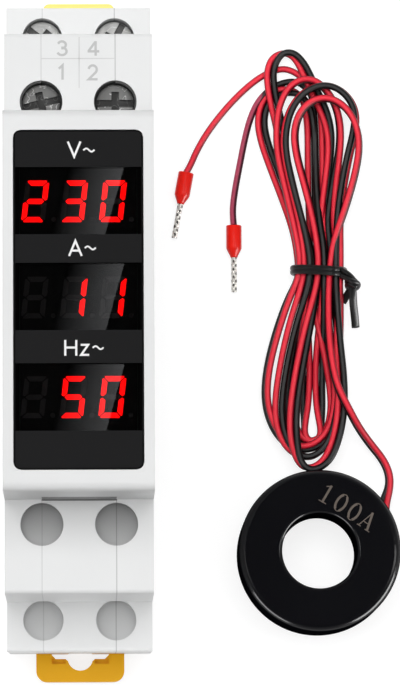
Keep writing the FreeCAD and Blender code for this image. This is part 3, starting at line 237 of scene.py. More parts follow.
# Rows of wells: how far from the middle, their radius, the level that the shade starts at, and its depth
INNER_WELLS = {"Place": 25.7 * MM, "Radius": 2.58 * MM, "Level": 44.8 * MM, "Depth": 0.7}
OUTER_WELLS = {"Place": 36.35 * MM, "Radius": 2.48 * MM, "Level": 25.3 * MM, "Depth": 0.32}


def new_group(name, inputs, outputs):
    """A node group with named number or colour sockets."""
    group = bpy.data.node_groups.new(name, "ShaderNodeTree")
    kinds = {"number": "NodeSocketFloat", "colour": "NodeSocketColor"}
    for label, kind, default in inputs:
        socket = group.interface.new_socket(label, in_out="INPUT", socket_type=kinds[kind])
        socket.default_value = default
    for label, kind in outputs:
        group.interface.new_socket(label, in_out="OUTPUT", socket_type=kinds[kind])
    start = group.nodes.new("NodeGroupInput")
    end = group.nodes.new("NodeGroupOutput")
    return group, start.outputs, end.inputs


def add(tree, kind, **values):
    """A node with its properties, or its inputs where the name is an input's."""
    made = tree.nodes.new("ShaderNode" + kind)
    for key, value in values.items():
        if hasattr(made, key):
            setattr(made, key, value)
        else:
            made.inputs[key.replace("_", " ")].default_value = value
    return made


def join(tree, source, target):
    tree.links.new(source, target)


def feed(tree, value, socket):
    """Sets a socket to a plain number, or joins another socket to it."""
    if isinstance(value, (int, float)):
        socket.default_value = value
    else:
        join(tree, value, socket)


def maths(tree, operation, *values):
    made = add(tree, "Math", operation=operation)
    for socket, value in zip(made.inputs, values):
        feed(tree, value, socket)
    return made.outputs[0]


def ranged(tree, value, from_low, from_high, low, high):
    """A number moved from one range to another and kept inside it."""
    made = add(tree, "MapRange")
    join(tree, value, made.inputs["Value"])
    labels = ("From Min", "From Max", "To Min", "To Max")
    for label, number in zip(labels, (from_low, from_high, low, high)):
        feed(tree, number, made.inputs[label])
    return made.outputs["Result"]


def blended(tree, share, first, second):
    """A colour that turns from one to the other with a share; each is a socket or three plain numbers."""
    made = add(tree, "Mix", data_type="RGBA")
    join(tree, share, made.inputs["Factor"])
    for socket, colour in zip((made.inputs[6], made.inputs[7]), (first, second)):
        if isinstance(colour, tuple):
            socket.default_value = (*colour, 1)
        else:
            join(tree, colour, socket)
    return made.outputs[2]


def scaled(tree, colour, share):
    """A colour made lighter or darker by a number that changes over the surface."""
    made = add(tree, "VectorMath", operation="SCALE")
    join(tree, colour, made.inputs[0])
    join(tree, share, made.inputs["Scale"])
    return made.outputs[0]


def noise(tree, place, scale, **values):
    made = add(tree, "TexNoise", **values)
    join(tree, place, made.inputs["Vector"])
    feed(tree, scale, made.inputs["Scale"])
    return made.outputs["Fac"]


def place_in(tree, coordinate="Object"):
    """The place on the piece, or another texture coordinate, as one socket."""
    return add(tree, "TexCoord").outputs[coordinate]


def split(tree, coordinate="Object"):
    """The x, y and z of a texture coordinate."""
    made = add(tree, "SeparateXYZ")
    join(tree, place_in(tree, coordinate), made.inputs[0])
    return made.outputs


def moulded_grain():
    """Fine spark-eroded grain with a slow drift in tone and gloss."""
    group, given, out = new_group("moulded_grain", [
        ("Colour", "colour", (0.5, 0.5, 0.5, 1)), ("Grain", "number", 9000.0), ("Tone", "number", 0.04),
        ("Gloss", "number", 0.4), ("Gloss Drift", "number", 0.06)],
        [("Colour", "colour"), ("Roughness", "number"), ("Height", "number")])
    place = place_in(group)
    fine = noise(group, place, given["Grain"], Detail=3.0)
    slow = noise(group, place, 70.0, Detail=4.0)
    dimmed = ranged(group, slow, 0.3, 0.7, maths(group, "SUBTRACT", 1.0, given["Tone"]), 1.0)
    join(group, scaled(group, given["Colour"], dimmed), out["Colour"])
    both = maths(group, "ADD", slow, maths(group, "MULTIPLY", fine, 0.6))
    swing = maths(group, "MULTIPLY", maths(group, "SUBTRACT", both, 0.8), given["Gloss Drift"])
    join(group, maths(group, "ADD", given["Gloss"], swing), out["Roughness"])
    join(group, fine, out["Height"])
    return group


def machined_marks():
    """Fine turned or rolled marks, with dull spots, for metal."""
    group, given, out = new_group("machined_marks", [
        ("Colour", "colour", (0.5, 0.5, 0.5, 1)), ("Scale", "number", 2500.0), ("Gloss", "number", 0.3),
        ("Dull", "number", 0.3)], [("Colour", "colour"), ("Roughness", "number"), ("Height", "number")])
    place = place_in(group)
    drawn_out = add(group, "VectorMath", operation="MULTIPLY")
    drawn_out.inputs[1].default_value = (1.0, 0.15, 1.0)
    join(group, place, drawn_out.inputs[0])
    marks = noise(group, drawn_out.outputs[0], given["Scale"], Detail=5.0)
    spots = noise(group, place, 700.0, Detail=3.0)
    dullest = maths(group, "ADD", given["Gloss"], given["Dull"])
    join(group, ranged(group, spots, 0.35, 0.7, given["Gloss"], dullest), out["Roughness"])
    join(group, scaled(group, given["Colour"], ranged(group, marks, 0.3, 0.7, 0.82, 1.08)), out["Colour"])
    join(group, marks, out["Height"])
    return group


def seam_lines():
    """Shadow along the case's two seams, the right one deeper, and in the gap at the foot of the front."""
    group, given, out = new_group("seam_lines", [
        ("Place", "number", SEAM["place"]), ("Width", "number", 0.1 * MM)],
        [("Line", "number"), ("Gap", "number")])
    x, y, _ = split(group)
    across = maths(group, "ABSOLUTE", x)
    away = maths(group, "ABSOLUTE", maths(group, "SUBTRACT", across, given["Place"]))
    line = ranged(group, away, 0.0, given["Width"], 1.0, 0.0)
    side = ranged(group, x, -SEAM["middle"], SEAM["middle"], SEAM["left"], 1.0)
    join(group, maths(group, "MULTIPLY", line, side), out["Line"])
    along = maths(group, "ABSOLUTE", maths(group, "SUBTRACT", y, FOOT_GAP["y"]))
    gap_end = FOOT_GAP["half"] + FOOT_GAP["edge"]
    foot = ranged(group, along, FOOT_GAP["half"], gap_end, FOOT_GAP["depth"], 0.0)
    edge = maths(group, "ADD", given["Place"], SEAM["edge"])
    between = ranged(group, across, given["Place"], edge, 1.0, 0.0)
    join(group, maths(group, "MULTIPLY", foot, between), out["Gap"])
    return group


def well_shade():
    """Shade of one row of wells, a number that is greatest where they are darkest."""
    group, given, out = new_group("well_shade", [
        (label, "number", value) for label, value in INNER_WELLS.items()], [("Shade", "number")])
    x, y, z = split(group)
    across = maths(group, "SUBTRACT", maths(group, "ABSOLUTE", x), SEAM["place"])
    along = maths(group, "SUBTRACT", maths(group, "ABSOLUTE", y), given["Place"])
    squares = [maths(group, "MULTIPLY", side, side) for side in (across, along)]
    far = maths(group, "SQRT", maths(group, "ADD", *squares))
    wall = maths(group, "ADD", given["Radius"], WELL["wall"])
    inside = ranged(group, far, given["Radius"], wall, 1.0, 0.0)
    step = maths(group, "ADD", given["Level"], WELL["step"])
    below = ranged(group, z, given["Level"], step, 1.0, 0.0)
    slope = ranged(group, along, -WELL["reach"], WELL["reach"], 1.0, WELL["low"])
    screws = ranged(group, y, 0.0, WELL["middle"], 0.0, WELL["screws"])
    strength = maths(group, "MULTIPLY", maths(group, "MAXIMUM", slope, screws), given["Depth"])
    join(group, maths(group, "MULTIPLY", maths(group, "MULTIPLY", inside, below), strength), out["Shade"])
    return group


def scratches_and_slot_shade():
    """Scratches on a screw head, and painted shade that darkens its slots below its top's level: colour in,
    colour out.
    """
    group, given, out = new_group("scratches_and_slot_shade", [
        ("Colour", "colour", (0.4, 0.4, 0.4, 1)), ("Level", "number", 0.0)], [("Colour", "colour")])
    wander = noise(group, place_in(group), 420.0, Detail=1.0, Distortion=1.6)
    ridge = maths(group, "ABSOLUTE", maths(group, "SUBTRACT", wander, 0.5))
    scratch = ranged(group, ridge, 0.004, 0.016, 0.75, 0.0)
    bright = blended(group, scratch, given["Colour"], (0.85, 0.85, 0.84))
    # Painted shade: below the head's top the slots are painted near black
    deep = maths(group, "SUBTRACT", given["Level"], split(group)[2])
    dark = ranged(group, deep, 0.22 * MM, 0.5 * MM, 0.0, 0.80)
    join(group, blended(group, dark, bright, (0.012, 0.012, 0.012)), out["Colour"])
    return group


GROUPS = {}


def shared(build):
    """The node group that a function makes, made once."""
    if build.__name__ not in GROUPS:
        GROUPS[build.__name__] = build()
    return GROUPS[build.__name__]


def place_group(tree, build, **values):
    made = tree.nodes.new("ShaderNodeGroup")
    made.node_tree = shared(build)
    for key, value in values.items():
        made.inputs[key.replace("_", " ")].default_value = value
    return made


# Finishes


def new_material(name, **values):
    """A material with one Principled shader, its plain values on the shader's own sockets."""
    made = bpy.data.materials.new(name)
    made.use_nodes = True
    shader = made.node_tree.nodes["Principled BSDF"]
    for key, value in values.items():
        shader.inputs[key.replace("_", " ")].default_value = value
    return made, made.node_tree, shader


def surface(tree, shader, tone, roughness, height, depth):
    """Feeds a colour, a gloss and a relief to the shader."""
    join(tree, tone, shader.inputs["Base Color"])
    join(tree, roughness, shader.inputs["Roughness"])
    bump = add(tree, "Bump", Strength=1.0, Distance=depth)
    join(tree, height, bump.inputs["Height"])
    join(tree, bump.outputs["Normal"], shader.inputs["Normal"])


def share_of(colour, share):
    return tuple(part * share for part in colour)


def shaded_case(tree, tone, colour):
    """The case's tone with the shadow of its seams, its foot gap and its wells."""
    lines = place_group(tree, seam_lines, Width=meter_settings().seam_width)
    lined = blended(tree, lines.outputs["Line"], tone, share_of(colour, 0.5))
    wells = [place_group(tree, well_shade, **row).outputs["Shade"] for row in (INNER_WELLS, OUTER_WELLS)]
    shade = maths(tree, "MAXIMUM", maths(tree, "MAXIMUM", *wells), lines.outputs["Gap"])
    return blended(tree, shade, lined, share_of(colour, 0.02))


def moulded(name, colour, gloss=0.42, grain=9000.0, tone=0.04, depth=0.004 * MM, case=False, **values):
    """Moulded plastic with spark grain; the case also has its seams and the shade of its wells."""
    made, tree, shader = new_material(name, **values)
    grained = place_group(tree, moulded_grain, Colour=(*colour, 1), Grain=grain, Tone=tone, Gloss=gloss)
    tone = grained.outputs["Colour"]
    if case:
        tone = shaded_case(tree, tone, colour)
    surface(tree, shader, tone, grained.outputs["Roughness"], grained.outputs["Height"], depth)
    return made


def metal(name, colour, gloss=0.3, dull=0.3, scale=2500.0, depth=0.006 * MM, bare=1.0, head_top=None):
    """Plated metal; a lower bare share gives the paler, duller look of worn zinc."""
    made, tree, shader = new_material(name, Metallic=bare)
    marked = place_group(tree, machined_marks, Colour=(*colour, 1), Scale=scale, Gloss=gloss, Dull=dull)
    tone = marked.outputs["Colour"]
    # Scratches, and painted shade in the slots below the head's top
    if head_top is not None:
        worn = place_group(tree, scratches_and_slot_shade, Level=head_top)
        join(tree, tone, worn.inputs["Colour"])
        tone = worn.outputs["Colour"]
    surface(tree, shader, tone, marked.outputs["Roughness"], marked.outputs["Height"], depth)
    return made


def lit_segment(name, colour, glow):
    """Lit segment: a glowing lens with a little mottle."""
    made, tree, shader = new_material(name, Roughness=0.35, Emission_Strength=glow)
    mottle = add(tree, "TexNoise", Scale=3000.0, Detail=2.0)
    tone = blended(tree, mottle.outputs["Fac"], colour, (colour[0] * 0.94, *colour[1:]))
    join(tree, tone, shader.inputs["Emission Color"])
    join(tree, tone, shader.inputs["Base Color"])
    return made


# Notches of a pin: their pitch along and across it, as waves in radians per metre, and their depth
NOTCHES = {"along": 2 * math.pi / (1.02 * MM), "across": 2 * math.pi / (0.66 * MM), "depth": 0.05 * MM}


def crimped_pin(name):
    """Bright tinned sleeve with crimp notches in staggered rows, painted dark as shade."""
    made, tree, shader = new_material(name, Metallic=0.5)
    marked = place_group(tree, machined_marks, Colour=(0.95, 0.92, 0.87, 1), Scale=5000.0, Gloss=0.3,
                         Dull=0.3)
    x, y, _ = split(tree)
    waves = [maths(tree, "SINE", maths(tree, "MULTIPLY", place, NOTCHES[way]))
             for place, way in ((y, "along"), (x, "across"))]
    notch = ranged(tree, maths(tree, "MULTIPLY", *waves), 0.25, 0.55, 0.0, 0.9)
    # Painted shade: the notches are painted near black
    tone = blended(tree, notch, marked.outputs["Colour"], (0.05, 0.045, 0.04))
    height = maths(tree, "SUBTRACT", marked.outputs["Height"], notch)
    surface(tree, shader, tone, marked.outputs["Roughness"], height, NOTCHES["depth"])
    return made


def smoked_glass(name):
    """Clear smoked plastic, polished, with faint wipe marks in its gloss."""
    made, tree, shader = new_material(name, Base_Color=(0.55, 0.55, 0.56, 1), Transmission_Weight=1.0,
                                      IOR=1.49)
    wipe = add(tree, "TexNoise", Scale=220.0, Detail=4.0)
    join(tree, ranged(tree, wipe.outputs["Fac"], 0.3, 0.7, 0.0, 0.012), shader.inputs["Roughness"])
    return made


# The ring: radii of its bore and outer wall, which have no gloss, how softly the gloss ends at each,
# the gloss of the rest, and what the bore adds to the roughness
RING = {"bore": 4.82 * MM, "bore_edge": 0.1 * MM, "wall": 10.24 * MM, "wall_edge": 0.12 * MM,
        "gloss": 0.4, "dull": 0.75}


def ring_moulding(name):
    """Polished black moulding; no polish reaches the bore and the outer wall."""
    made, tree, shader = new_material(name, Specular_IOR_Level=RING["gloss"])
    grained = place_group(tree, moulded_grain, Colour=(0.0035, 0.0035, 0.0048, 1), Grain=5000.0, Tone=0.1,
                          Gloss=0.17, Gloss_Drift=0.05)
    low, high = node_box("ct_case")
    flat = add(tree, "VectorMath", operation="MULTIPLY")
    flat.inputs[1].default_value = (1, 1, 0)
    join(tree, place_in(tree), flat.inputs[0])
    away = add(tree, "VectorMath", operation="DISTANCE")
    join(tree, flat.outputs[0], away.inputs[0])
    away.inputs[1].default_value = ((low.x + high.x) / 2, (low.y + high.y) / 2, 0)
    far = away.outputs["Value"]
    bore_end = RING["bore"] + RING["bore_edge"]
    inside = ranged(tree, far, RING["bore"], bore_end, 0.0, RING["gloss"])
    outside = ranged(tree, far, RING["wall"] - RING["wall_edge"], RING["wall"], RING["gloss"], 0.0)
    join(tree, maths(tree, "MINIMUM", inside, outside), shader.inputs["Specular IOR Level"])
    bore = ranged(tree, far, RING["bore"], bore_end, RING["dull"], 0.0)
    roughness = maths(tree, "ADD", grained.outputs["Roughness"], bore)
    surface(tree, shader, grained.outputs["Colour"], roughness, grained.outputs["Height"], 0.0015 * MM)
    return made


# Painted shade of each wire: the colour painted on its flanks, and how steep the surface is where it starts
# and ends turning to it; on the black wire the narrow top left lighter is a painted highlight
PAINTED_FLANK_SHADE = {"red": ((0.26, 0.0, 0.012), (0.0, 0.48)), "black": ((0.004, 0.004, 0.004), (-0.06, 0.16))}
# How much steeper the right side counts than the left one, so that the painted shade is deeper on the right
SHADE_LEAN_RIGHT = 0.16
# Painted reflection on the bare end of the black wire, beside the ferrule: painted pink on its outer side
# as reflected red light, and painted dark maroon shade on the other side
RED_SHEEN_PAINT = {"slant": 0.14, "x": (19.0 * MM, 19.3 * MM), "low": (11.0 * MM, 11.5 * MM),
            "colour": (0.50, 0.07, 0.13), "shade": (0.05, 0.004, 0.014)}


def paint_red_sheen(tree, tone, sideways):
    """The black wire's tone, with a painted reflection of red light along the stretch that ends in its
    ferrule: pink on one side and painted maroon shade on the other.
    """
    # Painted reflection: pink on the outer side, turning to painted maroon shade on the other side
    shade = ranged(tree, sideways, -0.05, 0.45, 0.0, 1.0)
    sheen_of_red = blended(tree, shade, RED_SHEEN_PAINT["colour"], RED_SHEEN_PAINT["shade"])
    x, y, _ = split(tree)
    slanted = maths(tree, "SUBTRACT", x, maths(tree, "MULTIPLY", y, RED_SHEEN_PAINT["slant"]))
    left = ranged(tree, slanted, *RED_SHEEN_PAINT["x"], 1.0, 0.0)
    high = ranged(tree, y, *RED_SHEEN_PAINT["low"], 0.0, 1.0)
    return blended(tree, maths(tree, "MULTIPLY", left, high), tone, sheen_of_red)


def insulation(name, colour, edge, reach, sheen_of_red=False):
    """Soft wire insulation: clear colour on top, painted darker towards its flanks as shade, the right one
    most; on the black wire the lighter top is a painted highlight.
    """
    made, tree, shader = new_material(name, Specular_IOR_Level=0.25)
    sideways, _, upward = split(tree, "Normal")
    steep = maths(tree, "SUBTRACT", 1.0, upward)
    shade_steepness = maths(tree, "ADD", steep, maths(tree, "MULTIPLY", sideways, SHADE_LEAN_RIGHT))
    # Painted shade on the flanks, deeper on the right, and a painted highlight along the black wire's top
    tone = blended(tree, ranged(tree, shade_steepness, *reach, 0.0, 1.0), colour, edge)
    if sheen_of_red:
        tone = paint_red_sheen(tree, tone, sideways)
    grained = place_group(tree, moulded_grain, Grain=7000.0, Tone=0.06, Gloss=0.34)
    join(tree, tone, grained.inputs["Colour"])
    surface(tree, shader, grained.outputs["Colour"], grained.outputs["Roughness"],
            grained.outputs["Height"], 0.002 * MM)
    return made


def ink(name, colour):
    made, tree, shader = new_material(name)
    grained = place_group(tree, moulded_grain, Colour=(*colour, 1), Grain=12000.0, Tone=0.12, Gloss=0.5)
    join(tree, grained.outputs["Colour"], shader.inputs["Base Color"])
    join(tree, grained.outputs["Roughness"], shader.inputs["Roughness"])
    return made


def screw_plating(name, colour, number, **values):
    """Worn zinc of a terminal screw, whose slots are painted dark below its top as shade."""
    return metal(name, colour, scale=900.0, depth=0.05 * MM,
                 head_top=node_box(f"terminal_screw_{number}")[1].z, **values)


def material_set():
    """The finish of each slot of the record."""
    meter, cable = meter_settings(), cable_settings()
    case, clip = tuple(meter.case_colour), tuple(meter.clip_colour)
    return {
        "case_grey": moulded("case_moulding", case, case=True),
        "bezel_grey": moulded("bezel_moulding", share_of(case, 0.94), gloss=0.38),
        "clip_yellow": moulded("clip_moulding", clip, gloss=0.40, tone=0.07, Specular_IOR_Level=0.25),
        "smoked_pane": smoked_glass("smoked_pane_clear"),
        "front_film": moulded("printed_film", (0.0105, 0.0105, 0.011), gloss=0.45, grain=14000.0,
                              depth=0.001 * MM, Specular_IOR_Level=0.08),
        "mask_black": moulded("mask_moulding", (0.002, 0.002, 0.002), gloss=0.6, Specular_IOR_Level=0.1),
        "segment_lit": lit_segment("segment_on", tuple(meter.digit_colour), meter.digit_glow),
        "segment_unlit": moulded("segment_off", (0.046, 0.041, 0.041), gloss=0.5, Specular_IOR_Level=0.2),
        "screw_steel": screw_plating("screw_plating", (0.24, 0.24, 0.235), 1, gloss=0.34, dull=0.25,
                                     bare=0.45),
        "clamp_steel": metal("clamp_plating", (0.55, 0.54, 0.50)),
        "contact_brass": metal("contact_metal", (0.72, 0.55, 0.28)),
        "board_green": moulded("board_mask", (0.03, 0.16, 0.07), gloss=0.3),
        "header_black": moulded("header_moulding", (0.02, 0.02, 0.02)),
        "capacitor_blue": moulded("capacitor_sleeve", (0.05, 0.09, 0.35), gloss=0.25),
        "capacitor_red": moulded("capacitor_case", (0.45, 0.06, 0.03), gloss=0.25),
        "resistor_tan": moulded("resistor_lacquer", (0.55, 0.45, 0.30)),
        "ring_black": ring_moulding("ring_moulding"),
        "copper": metal("winding_copper", (0.72, 0.33, 0.18)),
        "core_steel": metal("core_strip", (0.25, 0.25, 0.25), gloss=0.45),
        "wire_red": insulation("red_insulation", tuple(cable.red), *PAINTED_FLANK_SHADE["red"]),
        "wire_black": insulation("black_insulation", tuple(cable.black), *PAINTED_FLANK_SHADE["black"], sheen_of_red=True),
        "tie_black": moulded("tie_coating", (0.008, 0.008, 0.008), gloss=0.34, grain=6000.0),
        "ferrule_red": moulded("ferrule_moulding", tuple(cable.ferrule), gloss=0.30,
                               grain=8000.0, tone=0.05, Specular_IOR_Level=0.3),
        "pin_tin": crimped_pin("pin_tinning"),
    }


MATERIALS = {}


def finish_of(slot):
    if not MATERIALS:
        MATERIALS.update(material_set())
    return MATERIALS[slot]


# Making pieces


def keep(piece, slot, replaced=(), body=BODY):
    """Puts a finished piece on a body, with its finish and the parts that it stands for."""
    piece.data.materials.clear()
    piece.data.materials.append(finish_of(slot))
    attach(piece, body)
    if replaced:
        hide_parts(*replaced)
    return piece


def linked(name, data):
    """An object in the scene that holds some data."""
    piece = bpy.data.objects.new(name, data)
    bpy.context.scene.collection.objects.link(piece)
    return piece


def mesh_piece(name, points, faces, smooth=True):
    data = bpy.data.meshes.new(name)
    data.from_pydata([tuple(p) for p in points], [], faces)
    data.validate()
    data.update()
    if smooth:
        data.shade_smooth()
    else:
        data.shade_flat()
    return linked(name, data)


def merged(name, parts, smooth=False):
    """One piece from several lists of points and faces."""
    points, faces = [], []
    for verts, sides in parts:
        start = len(points)
        points.extend(verts)
        faces.extend(tuple(start + k for k in side) for side in sides)
    return mesh_piece(name, points, faces, smooth)


def closed_sides(rows, around):
    """Faces of a closed form from rows of points that go round it, with a cap on each end."""
    faces = []
    for low in range(0, (rows - 1) * around, around):
        high = low + around
        for k in range(around):
            after = (k + 1) % around
            faces.append((low + k, low + after, high + after, high + k))
    faces.append(tuple(reversed(range(around))))
    faces.append(tuple((rows - 1) * around + k for k in range(around)))
    return faces


def shaped_mesh(piece):
    """The mesh that a piece shows, with its modifiers or its section in it."""
    bpy.context.view_layer.update()
    seen = piece.evaluated_get(bpy.context.evaluated_depsgraph_get())
    return bpy.data.meshes.new_from_object(seen)


def open_line(name, points, steps):
    """A curve with one open smooth line through control points."""
    data = bpy.data.curves.new(name, "CURVE")
    data.dimensions = "3D"
    data.resolution_u = steps
    line = data.splines.new("NURBS")
    line.points.add(len(points) - 1)
    for point, place in zip(line.points, points):
        point.co = (*place, 1)
    line.order_u = 3
    line.use_endpoint_u = True
    return linked(name, data)


def wire_curve(name, points, radius):
    """A wire with a round section; its control points carry the radius."""
    piece = open_line(name, points, 5)
    for point in piece.data.splines[0].points:
        point.radius = radius
    piece.data.bevel_depth = 1.0
    piece.data.bevel_resolution = 5
    piece.data.use_fill_caps = True
    return piece


def centre_line(piece):
    """Points along a curve's own line, read from the curve without its section."""
    depth, piece.data.bevel_depth = piece.data.bevel_depth, 0
    line = shaped_mesh(piece)
    points = [v.co.copy() for v in line.vertices]
    bpy.data.meshes.remove(line)
    piece.data.bevel_depth = depth
    return points


def smooth_line(points):
    """Points along a smooth open line through control points."""
    carrier = open_line("line", points, 6)
    data = carrier.data
    found = centre_line(carrier)
    bpy.data.objects.remove(carrier)
    bpy.data.curves.remove(data)
    return found


def heading(points, i):
    """Direction of a line at one of its points."""
    return (points[min(i + 1, len(points) - 1)] - points[max(i - 1, 0)]).normalized()


def line_length(points):
    return sum((b - a).length for a, b in zip(points, points[1:]))


def turned(name, rings, around, start, ahead, shape=None):
    """A closed round form along an axis: (distance, radius) rings, with an optional shape factor."""
    ahead = ahead.normalized()
    side = Vector((0, 0, 1)).cross(ahead).normalized()
    up = ahead.cross(side)
    points = []
    for along, radius in rings:
        for k in range(around):
            angle = 2 * math.pi * k / around
            factor = shape(along, angle) if shape else 1.0
            out = (side * math.cos(angle) + up * math.sin(angle)) * radius * factor
            points.append(start + ahead * along + out)
    return mesh_piece(name, points, closed_sides(len(rings), around))


# Cable

# Half the distance between the middles of the two wires
PAIR_HALF = 0.43 * MM
# Mouth of each collar on the table, in millimetres, and its lean in degrees
FERRULES = {"red": ((13.90, 23.12), 10.6), "black": ((20.04, 16.20), 0.0)}
# Collar: length of its sleeve and its cone, radius of the sleeve and of the cone's tip, its rounded lip,
# and the radius and depth of the mouth that the wire enters
COLLAR = {"sleeve": 3.05 * MM, "cone": 1.15 * MM, "radius": 1.0 * MM, "tip": 0.42 * MM, "lip": 0.12 * MM,
          "mouth": 0.62 * MM, "deep": 0.5 * MM, "around": 40}
# Pin: radius, length in sight and inside the cone, and how much smaller its rounded ends are. Its notches:
# where they start and end from each end, their pitch, how many go round, and how deep they are pressed
PIN = {"radius": 0.36 * MM, "length": 4.5 * MM, "hidden": 0.3 * MM, "ends": 0.86,
       "start": 0.75 * MM, "stop": 0.2 * MM, "pitch": 0.74 * MM, "notches": 4, "pressed": 0.42,
       "steps": 90, "around": 48}


def metres(rows):
    return [Vector(row[:3]) * MM for row in rows]


def pair_lines():
    """Control points of the red and the black wire, side by side about the route of the pair."""
    middle = metres(PAIR)
    red, black = [], []
    for i, place in enumerate(middle):
        along = heading(middle, i)
        outward = Vector((-along.y, along.x, 0)).normalized()
        above = outward.cross(along)
        if above.z < 0:
            above.negate()
        turn = math.radians(PAIR[i][3])
        offset = (outward * math.cos(turn) + above * math.sin(turn)) * PAIR_HALF
        red.append(place + offset)
        black.append(place - offset)
    return {"red": metres(RED_TAIL) + red + metres(RED_END),
            "black": metres(BLACK_TAIL) + black + metres(BLACK_END)}


def ferrule_place(colour):
    """Where a collar's mouth is, and the way that the ferrule points."""
    (x, y), lean = FERRULES[colour]
    box_low, box_high = node_box(colour + "_ferrule_collar")
    height = (box_low.z + box_high.z) / 2
    lean = math.radians(lean)
    return Vector((x * MM, y * MM, height)), Vector((-math.sin(lean), -math.cos(lean), 0))


def collar_piece(colour):
    """Moulded collar: rounded mouth, straight sleeve, and cone down to the pin."""
    wide, tip, lip, mouth = (COLLAR[key] for key in ("radius", "tip", "lip", "mouth"))
    sleeve, cone = COLLAR["sleeve"], COLLAR["cone"]
    rings = [(COLLAR["deep"], mouth * 0.75), (lip, mouth * 0.86), (0.0, mouth), (0.0, wide - lip),
             (lip * 0.3, wide - lip * 0.3), (lip, wide)]
    rings += [(sleeve - lip * 2, wide), (sleeve, wide * 0.985), (sleeve + cone * 0.25, wide * 0.86),
              (sleeve + cone * 0.8, tip * 1.25), (sleeve + cone, tip * 1.05), (sleeve + cone, tip * 0.8)]
    return turned(colour + "_collar", rings, COLLAR["around"], *ferrule_place(colour))


def pin_piece(colour):
    """Crimped tin sleeve with rows of pressed notches down its length."""
    first = COLLAR["sleeve"] + COLLAR["cone"] - PIN["hidden"]
    length = PIN["length"] + PIN["hidden"]
    steps = PIN["steps"]

    def pressed(along, angle):
        place = (along - first - PIN["start"]) / PIN["pitch"]
        if place < 0 or along > first + length - PIN["stop"]:
            return 1.0
        notch = math.cos(2 * math.pi * place) * math.cos(PIN["notches"] * angle)
        return 1.0 - PIN["pressed"] * max(0.0, notch)

    rings = []
    for i in range(steps + 1):
        rounded = PIN["ends"] if i in (0, steps) else 1.0
        rings.append((first + length * i / steps, PIN["radius"] * rounded))
    return turned(colour + "_pin", rings, PIN["around"], *ferrule_place(colour), pressed)


class AMMETER_OT_cable(bpy.types.Operator):
    """Lays the red and the black wire, with their ferrules"""
    bl_idname = "ammeter.cable"
    bl_label = "Cable"

    def execute(self, context):
        radius = cable_settings().wire / 2
        for colour, points in pair_lines().items():
            collar = keep(collar_piece(colour), "ferrule_red", [colour + "_ferrule_collar"])
            pin = keep(pin_piece(colour), "pin_tin", [colour + "_ferrule_pin"])
            wire = wire_curve(colour + "_wire", points, radius)
            keep(wire, "wire_" + colour, [f"{colour}_wire_{part}" for part in ("hank", "tail", "lead")])
            line = centre_line(wire)
            tuple(points[-1])
            line_length(line)
        return {"FINISHED"}


# Tie

# One band of the tie about the waist, seen along it: across and height in millimetres
BAND = [(33.9, -1.75), (32.6, -1.35), (30.6, -1.2), (28.7, -1.55), (27.8, -2.2), (27.45, -3.1),
        (27.6, -4.4), (28.3, -5.22), (30.6, -5.25), (33.3, -5.22), (34.35, -4.5), (34.5, -3.4),
        (34.25, -2.3)]
# The two bands: place along the hank, and how far each sags towards the knot over a stretch across it
BAND_PLACES = [(10.45, -0.34), (9.93, -0.44)]
SAG = {"start": 28.0, "stretch": 7.0}
# The two strands of the knot, then the long and the short end of the tie
KNOT = [(33.9, 10.1, -1.75), (34.5, 9.7, -1.45), (35.15, 9.1, -1.35), (35.7, 8.45, -1.9),
        (35.75, 8.0, -3.0), (35.1, 8.0, -3.9), (34.55, 8.6, -3.4), (34.75, 9.05, -2.2), (35.35, 8.9, -1.5),
        (35.9, 8.3, -1.7)]
KNOT_RETURN = [(33.8, 9.35, -1.8), (34.5, 8.9, -1.3), (35.2, 8.5, -0.95), (35.95, 8.35, -1.3),
               (36.05, 7.95, -2.4), (35.4, 7.6, -3.4), (34.7, 7.9, -3.5), (34.6, 8.3, -2.5),
               (35.1, 8.2, -1.2), (35.8, 7.8, -1.4)]
TIE_END = [(35.2, 8.3, -1.9), (35.3, 7.2, -2.0), (35.4, 5.6, -2.9), (35.62, 4.2, -3.8), (35.75, 2.85, -4.5)]
TIE_STUB = [(35.2, 7.9, -3.0), (34.7, 7.1, -3.5), (34.1, 6.1, -4.1)]
# Oval sections, and the points round each: half its width, half its thickness, and its wide direction
TIE_AROUND = 12
SECTIONS = {"band": (0.36 * MM, 0.26 * MM, (0, 1, 0)), "knot": (0.46 * MM, 0.34 * MM, (0, 0, 1)),
            "end": (0.52 * MM, 0.18 * MM, (1, 0.2, 0)), "stub": (0.48 * MM, 0.2 * MM, (0.8, -0.6, 0))}


def tie_part(points, section):
    """A closed length of tie along control points, with one of the oval sections."""
    half_wide, half_thick, flat = SECTIONS[section]
    flat = Vector(flat)
    line = smooth_line(points)
    verts = []
    for i, place in enumerate(line):
        along = heading(line, i)
        wide = (flat - along * flat.dot(along)).normalized()
        thick = along.cross(wide)
        for k in range(TIE_AROUND):
            angle = 2 * math.pi * k / TIE_AROUND
            verts.append(place + wide * math.cos(angle) * half_wide + thick * math.sin(angle) * half_thick)
    return verts, closed_sides(len(line), TIE_AROUND)


class AMMETER_OT_tie(bpy.types.Operator):
    """Ties the hank: two turns of coated tie, a twisted knot and two ends"""
    bl_idname = "ammeter.tie"
    bl_label = "Tie"

    def execute(self, context):
        parts = []
        for y, sag in BAND_PLACES:
            row = metres([(x, y + sag * (x - SAG["start"]) / SAG["stretch"], z) for x, z in BAND])
            parts.append(tie_part(row + row[:2], "band"))
        rows = ((KNOT, "knot"), (KNOT_RETURN, "knot"), (TIE_END, "end"), (TIE_STUB, "stub"))
        parts += [tie_part(metres(row), section) for row, section in rows]
        keep(merged("tie", parts, smooth=True), "tie_black", ["hank_tie"])
        return {"FINISHED"}


# Lettering, drawn with strokes on a height of one


